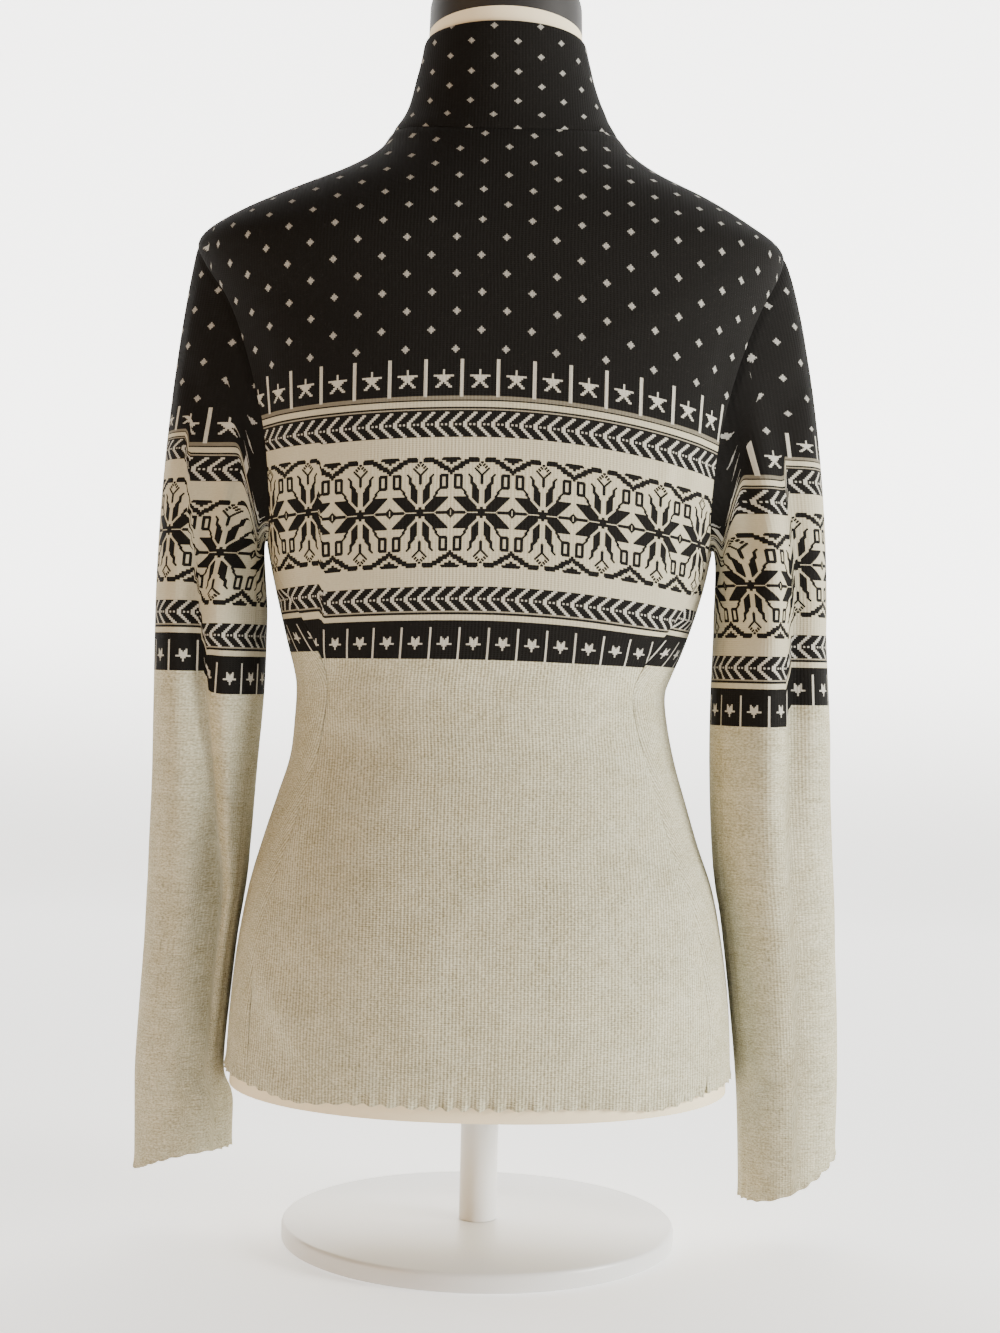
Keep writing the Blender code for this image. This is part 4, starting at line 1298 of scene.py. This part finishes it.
def newGroup(name, inputs, outputs):
    group = bpy.data.node_groups.new(name, "ShaderNodeTree")
    for label, kind, value in inputs:
        socket = group.interface.new_socket(label, in_out="INPUT", socket_type=kind)
        if value is not None:
            socket.default_value = value
    for label, kind in outputs:
        group.interface.new_socket(label, in_out="OUTPUT", socket_type=kind)
    graph = Graph(group)
    return group, graph, graph.add("NodeGroupInput"), graph.add("NodeGroupOutput")


def roseGroup():
    group, g, source, result = newGroup("roseChart", (
        ("Stitches across", "NodeSocketFloat", 0.0),
        ("Stitches up", "NodeSocketFloat", 0.0),
    ), (("Dark", "NodeSocketFloat"),))
    column = g.math("ABSOLUTE", g.math("ROUND", source.outputs[0]))
    row = g.math("ABSOLUTE", g.math("ROUND", source.outputs[1]))
    channels = chartRamp(g, row, (
        [chartNumber(line, 0) for line in roseChart],
        [chartNumber(line, channelStitches) for line in roseChart],
        [0] * len(roseChart)))
    near = stitchBit(g, channels[0], column)
    far = stitchBit(g, channels[1], g.math("SUBTRACT", column, channelStitches))
    inBand = g.math("LESS_THAN", row, len(roseChart) - 0.5)
    g.feed(result.inputs[0], g.math("MULTIPLY", g.math("MAXIMUM", near, far), inBand))
    return group


def fairIsleGroup(roseLookup):
    p = pattern
    group, g, source, result = newGroup("fairIsleChart", (
        ("Cloth map", "NodeSocketVector", None),
    ), (("Colour", "NodeSocketColor"), ("Plain", "NodeSocketFloat")))
    split = g.add("ShaderNodeSeparateXYZ")
    g.feed(split.inputs[0], source.outputs[0])
    u, v = split.outputs[0], split.outputs[1]

    # rose band
    roseU = repeatAround(g, u, p["roseStart"], p["roseRepeat"])
    roseAcross = g.math("DIVIDE", g.math("ABSOLUTE", roseU), p["roseRepeat"] / p["roseStitches"])
    roseUp = g.math("DIVIDE", g.math("ABSOLUTE", g.math("SUBTRACT", v, p["roseMiddle"])),
                    p["roseRow"])
    rose = 0.0
    for shift in (-p["darkSpread"], p["darkSpread"]):    # the dark yarn covers its neighbours
        lookup = g.add("ShaderNodeGroup")
        lookup.node_tree = roseLookup
        g.feed(lookup.inputs[0], g.math("ADD", roseAcross, shift))
        g.feed(lookup.inputs[1], g.math("ADD", roseUp, shift))
        rose = g.math("MAXIMUM", lookup.outputs[0], rose)

    # one row number serves the three small charts, which lie in bands of their own
    starRow = g.math("FLOOR", g.math("DIVIDE", g.math("SUBTRACT", v, p["starFeet"]),
                                     p["starStitch"]))
    boxRow = g.math("FLOOR", g.math("DIVIDE", g.math("SUBTRACT", v, p["boxStarFeet"]),
                                    p["boxStitch"]))
    upper = g.math("ABSOLUTE", g.math("SUBTRACT", v, p["featherMiddle"]))
    lower = g.math("ABSOLUTE", g.math("SUBTRACT", v, p["featherMiddle2"]))
    fromSpine = g.math("MINIMUM", upper, lower)
    featherRow = g.math("ROUND", g.math("DIVIDE", fromSpine, p["featherPitch"]))
    inStars = g.math("GREATER_THAN", v, p["thinLow"])
    inBoxes = g.math("LESS_THAN", v, p["boxHigh"])
    smallRow = g.choose(inStars, g.choose(inBoxes, featherRow, boxRow), starRow)
    smallRow = g.math("MINIMUM", g.math("MAXIMUM", smallRow, -1.0), 14.0)
    onChart = g.math("GREATER_THAN", smallRow, -0.5)
    small = chartRamp(g, g.math("MAXIMUM", smallRow, 0.0), (
        [chartNumber(row, 0) for row in starChart],
        [chartNumber(row, 0) for row in boxStarChart],
        [chartNumber(row, 0) for row in featherChart]))

    starU = repeatAround(g, u, p["starStart"], p["starRepeat"])
    starColumn = g.math("ROUND", g.math("DIVIDE", g.math("ABSOLUTE", starU), p["starStitch"]))
    star = g.math("MULTIPLY", stitchBit(g, small[0], starColumn), onChart)
    lineAway = g.math("ABSOLUTE", g.math("SUBTRACT", g.math("ABSOLUTE", starU),
                                         p["starRepeat"] / 2))
    starLine = g.math("LESS_THAN", lineAway, p["lineHalf"])
    starBand = g.within(v, p["starLow"], p["starHigh"])
    star = g.math("MULTIPLY", g.math("MAXIMUM", star, starLine), starBand)

    boxU = repeatAround(g, u, p["boxStart"], p["boxRepeat"])
    boxColumn = g.math("ROUND", g.math("DIVIDE", g.math("ABSOLUTE", boxU), p["boxStitch"]))
    boxStar = g.math("MULTIPLY", stitchBit(g, small[1], boxColumn), onChart)
    boxAway = g.math("ABSOLUTE", g.math("SUBTRACT", g.math("ABSOLUTE", boxU),
                                        p["boxRepeat"] / 2))
    boxLine = g.math("LESS_THAN", boxAway, p["boxLineHalf"])
    boxBand = g.within(v, p["boxLow"], p["boxHigh"])
    box = g.math("MULTIPLY", g.math("MAXIMUM", boxStar, boxLine), boxBand)

    featherColumn = g.math("FLOOR", g.math("DIVIDE", g.math(
        "FLOORED_MODULO", u, len(featherChart[0]) * p["featherStitch"]), p["featherStitch"]))
    feather = stitchBit(g, small[2], featherColumn)
    featherBand = g.math("LESS_THAN", fromSpine, p["featherHalf"])
    feather = g.math("MULTIPLY", feather, featherBand)

    # dots in every other place of each row
    dotV = g.math("DIVIDE", g.math("SUBTRACT", v, p["dotRow"]), p["dotUp"])
    dotRow = g.math("ROUND", dotV)
    odd = g.math("FLOORED_MODULO", dotRow, 2.0)
    moved = g.math("ADD", u, g.math("MULTIPLY", odd, p["dotAcross"] / 2))
    dotU = g.math("ABSOLUTE", repeatAround(g, moved, p["dotStart"], p["dotAcross"]))
    dotW = g.math("MULTIPLY", g.math("ABSOLUTE", g.math("SUBTRACT", dotV, dotRow)), p["dotUp"])
    dotColumns = g.math("ROUND", g.math("DIVIDE", dotU, p["dotStitch"]))
    dotRows = g.math("ROUND", g.math("DIVIDE", dotW, p["dotStitch"]))
    steps = g.math("ADD", dotRows, dotColumns)
    dot = g.math("MULTIPLY", g.math("LESS_THAN", steps, 2.5), g.math("GREATER_THAN", v,
                                                                    p["dotsFrom"]))

    thin = g.math("MAXIMUM", g.within(v, p["hairLow"], p["hairHigh"]),
                  g.within(v, p["hair2Low"], p["hair2High"]))
    grey = g.within(v, p["thinLow"], p["thinHigh"])
    thick = g.math("MAXIMUM", g.within(v, p["thickLow"], p["thickHigh"]),
                   g.within(v, p["thick2Low"], p["thick2High"]))
    cream = g.within(v, p["creamLow"], p["creamHigh"])

    light = g.math("MAXIMUM", g.math("MAXIMUM", star, box), feather)
    colour = g.mix(dot, yarns["black"], yarns["dot"])
    colour = g.mix(light, colour, yarns["star"])
    colour = g.mix(g.math("MULTIPLY", grey, 0.32), colour, yarns["heather"])
    colour = g.mix(g.math("MULTIPLY", thin, 0.5), colour, yarns["heather"])
    colour = g.mix(thick, colour, yarns["cream"])
    colour = g.mix(cream, colour, g.mix(rose, yarns["cream"], yarns["black"]))
    plain = g.math("LESS_THAN", v, p["boxLow"])
    g.feed(result.inputs[0], colour)
    g.feed(result.inputs[1], plain)
    return group


# mixed yarn: fine flecks, with streaks along the rows or up the ribs
heatherMix = {
    "ribPitch": 2.1,
    "coursePitch": 1.25,
    "fleckStretch": (0.55, 1.1, 1.0),
    "streakStretch": (0.06, 1.0, 1.0),
    "fleck": 2.2,
    "clouds": 0.5,
    "patches": 0.45,
    "coolShare": 0.5,
    "shade": 0.35,
    "fleckNoise": (0.9, 3.0, 0.65),       # scale, detail and roughness
    "streakNoise": (0.75, 3.0, 0.6),
    "cloudNoise": (0.035, 3.0, 0.55),
    "patchNoise": (0.13, 2.0, 0.5),
    "coolNoise": (0.07, 2.0, 0.5),
}


def heatherGroup():
    h = heatherMix
    group, g, source, result = newGroup("heatherYarn", (
        ("Cloth map", "NodeSocketVector", None),
        ("Rib depth", "NodeSocketFloat", 0.2),
        ("Row streaks", "NodeSocketFloat", 0.2),
    ), (("Colour", "NodeSocketColor"), ("Shade", "NodeSocketFloat"), ("Height", "NodeSocketFloat")))
    place = source.outputs[0]
    fleckMap = g.add("ShaderNodeMapping")
    g.feed(fleckMap.inputs["Vector"], place)
    fleckMap.inputs["Scale"].default_value = h["fleckStretch"]
    fleck = g.noise(fleckMap.outputs[0], *h["fleckNoise"])
    streakMap = g.add("ShaderNodeMapping")
    g.feed(streakMap.inputs["Vector"], place)
    streakMap.inputs["Scale"].default_value = h["streakStretch"]
    streak = g.noise(streakMap.outputs[0], *h["streakNoise"])
    cloud = g.noise(place, *h["cloudNoise"])
    split = g.add("ShaderNodeSeparateXYZ")
    g.feed(split.inputs[0], place)
    ribWave = g.math("SINE", g.math("MULTIPLY", split.outputs[0], 2 * math.pi / h["ribPitch"]))
    rib = g.math("MULTIPLY", ribWave, source.outputs["Rib depth"])
    spread = g.math("MULTIPLY", g.math("SUBTRACT", fleck, 0.5), h["fleck"])
    rows = g.math("MULTIPLY", g.math("SUBTRACT", streak, 0.5), source.outputs["Row streaks"])
    patch = g.noise(place, *h["patchNoise"])
    clouds = g.math("MULTIPLY", g.math("SUBTRACT", cloud, 0.5), h["clouds"])
    clouds = g.math("MULTIPLY_ADD", g.math("SUBTRACT", patch, 0.5), h["patches"], clouds)
    total = g.math("ADD", g.math("ADD", spread, rows), g.math("ADD", clouds, rib))
    level = g.add("ShaderNodeClamp")
    g.feed(level.inputs[0], g.math("ADD", total, 0.5))
    mixed = g.mix(level.outputs[0], yarns["heatherDark"], yarns["heatherPale"])
    coolShare = g.math("MULTIPLY", g.noise(place, *h["coolNoise"]), h["coolShare"])
    mixed = g.mix(coolShare, mixed, g.mix(level.outputs[0], yarns["coolDark"], yarns["coolPale"]))
    shade = g.math("ADD", 1.0, g.math("MULTIPLY", g.math("SUBTRACT", fleck, 0.5), h["shade"]))
    courseTurn = g.math("MULTIPLY", split.outputs[1], 2 * math.pi / h["coursePitch"])
    courses = g.math("SINE", courseTurn)
    height = g.math("ADD", g.math("MULTIPLY", ribWave, 0.5), g.math("MULTIPLY", courses, 0.3))
    height = g.math("ADD", height, g.math("MULTIPLY", fleck, 0.8))
    g.feed(result.inputs[0], mixed)
    g.feed(result.inputs[1], shade)
    g.feed(result.inputs[2], height)
    return group


def makeMaterial(name, roughness=0.5, metallic=0.0, colour=(0.5, 0.5, 0.5)):
    made = bpy.data.materials.new(name)
    made.use_nodes = True
    shader = made.node_tree.nodes["Principled BSDF"]
    shader.inputs["Base Color"].default_value = (*colour, 1.0)
    shader.inputs["Roughness"].default_value = roughness
    shader.inputs["Metallic"].default_value = metallic
    return made, shader, Graph(made.node_tree)


def useGroup(graph, group, **values):
    node = graph.add("ShaderNodeGroup")
    node.node_tree = group
    for label, value in values.items():
        graph.feed(node.inputs[label], value)
    return node


def addBump(graph, shader, height, strength, distance):
    bump = graph.add("ShaderNodeBump")
    bump.inputs["Strength"].default_value = strength
    bump.inputs["Distance"].default_value = distance
    graph.feed(bump.inputs["Height"], height)
    graph.feed(shader.inputs["Normal"], bump.outputs[0])


knitFinish = {
    "roughness": 0.92,
    "specular": 0.12,
    "bump": 0.35,
    "bumpHeight": 0.0004,
    "bodyRibs": 0.24,
    "bodyStreaks": 0.25,
    "sleeveRibs": 0.03,
    "sleeveStreaks": 0.8,
}


def knitMaterial(name, chart, yarn, ribs, streaks):
    made, shader, g = makeMaterial(name, knitFinish["roughness"])
    shader.inputs["Specular IOR Level"].default_value = knitFinish["specular"]
    mapped = g.add("ShaderNodeUVMap", uv_map="knit")
    chartNode = useGroup(g, chart, **{"Cloth map": mapped.outputs[0]})
    yarnNode = useGroup(g, yarn, **{"Cloth map": mapped.outputs[0], "Rib depth": ribs,
                                    "Row streaks": streaks})
    shaded = g.add("ShaderNodeMix", data_type="RGBA", blend_type="MULTIPLY")
    shaded.inputs[0].default_value = 1.0
    g.feed(shaded.inputs[6], chartNode.outputs["Colour"])
    g.feed(shaded.inputs[7], yarnNode.outputs["Shade"])
    colour = g.mix(chartNode.outputs["Plain"], shaded.outputs[2], yarnNode.outputs["Colour"])
    g.feed(shader.inputs["Base Color"], colour)
    addBump(g, shader, yarnNode.outputs["Height"], knitFinish["bump"], knitFinish["bumpHeight"])
    return made


print("finishes")
fairIsleChart = fairIsleGroup(roseGroup())
heatherYarn = heatherGroup()
bodyKnit = knitMaterial("bodyKnit", fairIsleChart, heatherYarn,
                        knitFinish["bodyRibs"], knitFinish["bodyStreaks"])
sleeveKnit = knitMaterial("sleeveKnit", fairIsleChart, heatherYarn,
                          knitFinish["sleeveRibs"], knitFinish["sleeveStreaks"])

jerseyCover, _, _ = makeMaterial("jerseyCover", 0.85, 0.0, (0.83, 0.72, 0.50))
capLacquer, _, _ = makeMaterial("capLacquerBlack", 0.6, 0.0, (0.010, 0.008, 0.007))
standPaint, _, _ = makeMaterial("standSatin", 0.35, 0.0, (0.70, 0.70, 0.69))
zipTape, _, _ = makeMaterial("zipTapeWoven", 0.9, 0.0, (0.02, 0.02, 0.02))
zipMetal, _, _ = makeMaterial("zipNickel", 0.34, 1.0, (0.55, 0.53, 0.50))
stitchThread, _, _ = makeMaterial("stitchThread", 0.7, 0.0, (0.02, 0.019, 0.018))


def dress(piece, material, slotName, *nodes, body=dressedBody):
    piece.data.materials.clear()
    piece.data.materials.append(material)
    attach(piece, body)
    if nodes:
        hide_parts(*nodes)


dress(backPiece, bodyKnit, "fair_isle_knit", "back")
dress(frontLeft, bodyKnit, "fair_isle_knit", "front_left")
dress(frontRight, bodyKnit, "fair_isle_knit", "front_right")
dress(collarPiece, bodyKnit, "fair_isle_knit", "collar")
dress(sleeveLeft, sleeveKnit, "fair_isle_knit", "sleeve_left")
dress(sleeveRight, sleeveKnit, "fair_isle_knit", "sleeve_right")
dress(formBody, jerseyCover, "form_jersey", "form_torso")
dress(formCap, capLacquer, "cap_lacquer", "form_neck_cap")
dress(standBase, standPaint, "stand_metal", "stand_base")
dress(standPole, standPaint, "stand_metal", "stand_pole")

print("zip")
repeatNodes = repeatGroup()
tapeLeft, tapeRight = makeTape("left", -1), makeTape("right", 1)
dress(tapeLeft, zipTape, "zip_tape", "zip_tape_left")
dress(tapeRight, zipTape, "zip_tape", "zip_tape_right")

toothShape = addBlocks("toothShape", (zipSizes["toothFoot"], zipSizes["toothHead"]))
boxLow, boxTop = cloth["hemHeight"] + 0.6, cloth["hemHeight"] + zipSizes["boxHeight"]
closed = frontLine(boxTop + 1.0, zipSizes["chainTop"], zipSizes["toothLevel"])
opened = frontLine(*zipSizes["openTeeth"], zipSizes["toothLevel"])
zipTeeth = repeatAlong(addGuide("zipTeeth", ((*closed, 0.0), (*opened, zipSizes["openSpread"]))),
                       repeatNodes, Shape=toothShape, Spacing=zipSizes["toothSpacing"] * metre,
                       Finish=zipMetal)
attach(zipTeeth, dressedBody)
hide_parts("zip_chain")

stitchCorner = zipSizes["stitchHalf"]
stitchShape = addBlocks("stitchShape", (([-half for half in stitchCorner], stitchCorner),), bevel=0.12)
stitchLines = []
for side in (-1.0, 1.0):
    for low, high in ((cloth["hemHeight"] + 3.0, cloth["neck"] - 2.0),
                      (cloth["neck"] + 2.5, cloth["collarTop"] - 3.0)):
        stitchLines.append((*frontLine(low, high, zipSizes["stitchLevel"],
                                       zipSizes["stitchFromZip"], side), 0.0))
zipStitches = repeatAlong(addGuide("zipStitches", stitchLines), repeatNodes, Shape=stitchShape,
                          Spacing=zipSizes["stitchSpacing"] * metre, Finish=stitchThread)
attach(zipStitches, dressedBody)

boxPoint, _ = frontLine(boxLow, boxTop, zipSizes["boxLevel"])
boxHalf = zipSizes["boxHalfWidth"]
zipBox = addBlocks("zipBox", (((-boxHalf, -1.0, 0.0), (boxHalf, 1.15, boxTop - boxLow)),), bevel=0.35)
boxTurn = Vector(boxPoint[-1] - boxPoint[0]).to_track_quat("Z", "Y").to_matrix().to_4x4()
zipBox.data.transform(Matrix.Translation(Vector(boxPoint[0]) * metre) @ boxTurn)
dress(zipBox, zipMetal, "zip_metal")
for shape in (toothShape, stitchShape):
    bpy.data.objects.remove(shape, do_unlink=True)

for node, material in (("zip_slider", zipMetal), ("pull_tab", zipMetal)):
    solid = bpy.data.objects[node]
    solid.data.materials.clear()
    solid.data.materials.append(material)

# room, light and camera
room = {
    "floorHalf": 6.0,
    "wallAway": 2.4,
    "bend": 0.8,
    "colour": (0.93, 0.93, 0.92),
    "floorGlow": 0.75,
    "wallGlow": 3.6,
    "glowRise": 0.5,
    "wallHeight": 5.0,
    "bendSteps": 12,
    "air": 0.06,
}


def makeRoom():
    profile = [(-room["floorHalf"], 0.0), (room["wallAway"] - room["bend"], 0.0)]
    for k in range(1, room["bendSteps"] + 1):
        angle = math.pi / 2 * k / room["bendSteps"]
        profile.append((room["wallAway"] - room["bend"] + room["bend"] * math.sin(angle),
                        room["bend"] * (1.0 - math.cos(angle))))
    profile.append((room["wallAway"], room["wallHeight"]))
    verts = [(x, y, z) for y, z in profile for x in (-room["floorHalf"], room["floorHalf"])]
    faces = [(2 * k, 2 * k + 1, 2 * k + 3, 2 * k + 2) for k in range(len(profile) - 1)]
    mesh = bpy.data.meshes.new("roomSweep")
    mesh.from_pydata([(x, y, z - 0.0002) for x, y, z in verts], [], faces)
    mesh.shade_smooth()
    sweep = bpy.data.objects.new("roomSweep", mesh)
    bpy.context.collection.objects.link(sweep)
    paint, shader, g = makeMaterial("roomPaint", 0.95, 0.0, room["colour"])
    shader.inputs["Emission Color"].default_value = (1.0, 1.0, 0.99, 1.0)
    # the wall glows brighter than the floor
    place = g.add("ShaderNodeTexCoord")
    split = g.add("ShaderNodeSeparateXYZ")
    g.feed(split.inputs[0], place.outputs["Object"])
    rise = g.add("ShaderNodeMapRange", interpolation_type="SMOOTHSTEP")
    g.feed(rise.inputs["Value"], split.outputs[2])
    rise.inputs["From Max"].default_value = room["glowRise"]
    rise.inputs["To Min"].default_value = room["floorGlow"]
    rise.inputs["To Max"].default_value = room["wallGlow"]
    g.feed(shader.inputs["Emission Strength"], rise.outputs[0])
    mesh.materials.append(paint)


# place, target, size, power and colour of each
lights = {
    "softKeyRight": ((2.5, -0.9, 0.7), (0.0, 0.0, 0.35), 1.0, 140.0, (1.0, 0.985, 0.94)),
    "softFillLeft": ((-2.1, -1.9, 0.8), (0.0, 0.0, 0.4), 1.2, 32.0, (1.0, 0.55, 0.17)),
    "softTop": ((0.0, 0.2, 2.6), (0.0, 0.0, 0.3), 2.2, 14.0, (1.0, 0.99, 0.97)),
}


def addLight(name, place, target, size, power, colour):
    data = bpy.data.lights.new(name, "AREA")
    data.shape = "DISK"
    data.size = size
    data.energy = power
    data.color = colour
    light = bpy.data.objects.new(name, data)
    aim = Vector(target) - Vector(place)
    light.matrix_world = Matrix.Translation(place) @ aim.to_track_quat("-Z", "Y").to_matrix().to_4x4()
    bpy.context.collection.objects.link(light)


print("room")
makeRoom()
for name, values in lights.items():
    addLight(name, *values)
world = bpy.data.worlds.new("paleRoom")
world.use_nodes = True
world.node_tree.nodes["Background"].inputs[0].default_value = (1.0, 1.0, 1.0, 1.0)
world.node_tree.nodes["Background"].inputs[1].default_value = room["air"]
bpy.context.scene.world = world

# the photo's view: level, from behind the jacket, with a slight roll
view = {
    "place": (0.0064, -1.344, 0.365),
    "lens": 56.7,
    "sensor": 36.0,
    "roll": 1.3,
}
cameraData = bpy.data.cameras.new("photoCamera")
cameraData.lens = view["lens"]
cameraData.sensor_width = view["sensor"]
camera = bpy.data.objects.new("photoCamera", cameraData)
level = Matrix.Rotation(math.pi / 2, 4, "X")
roll = Matrix.Rotation(math.radians(view["roll"]), 4, "Z")
camera.matrix_world = Matrix.Translation(view["place"]) @ level @ roll
bpy.context.collection.objects.link(camera)
bpy.context.scene.camera = camera

print("ready")
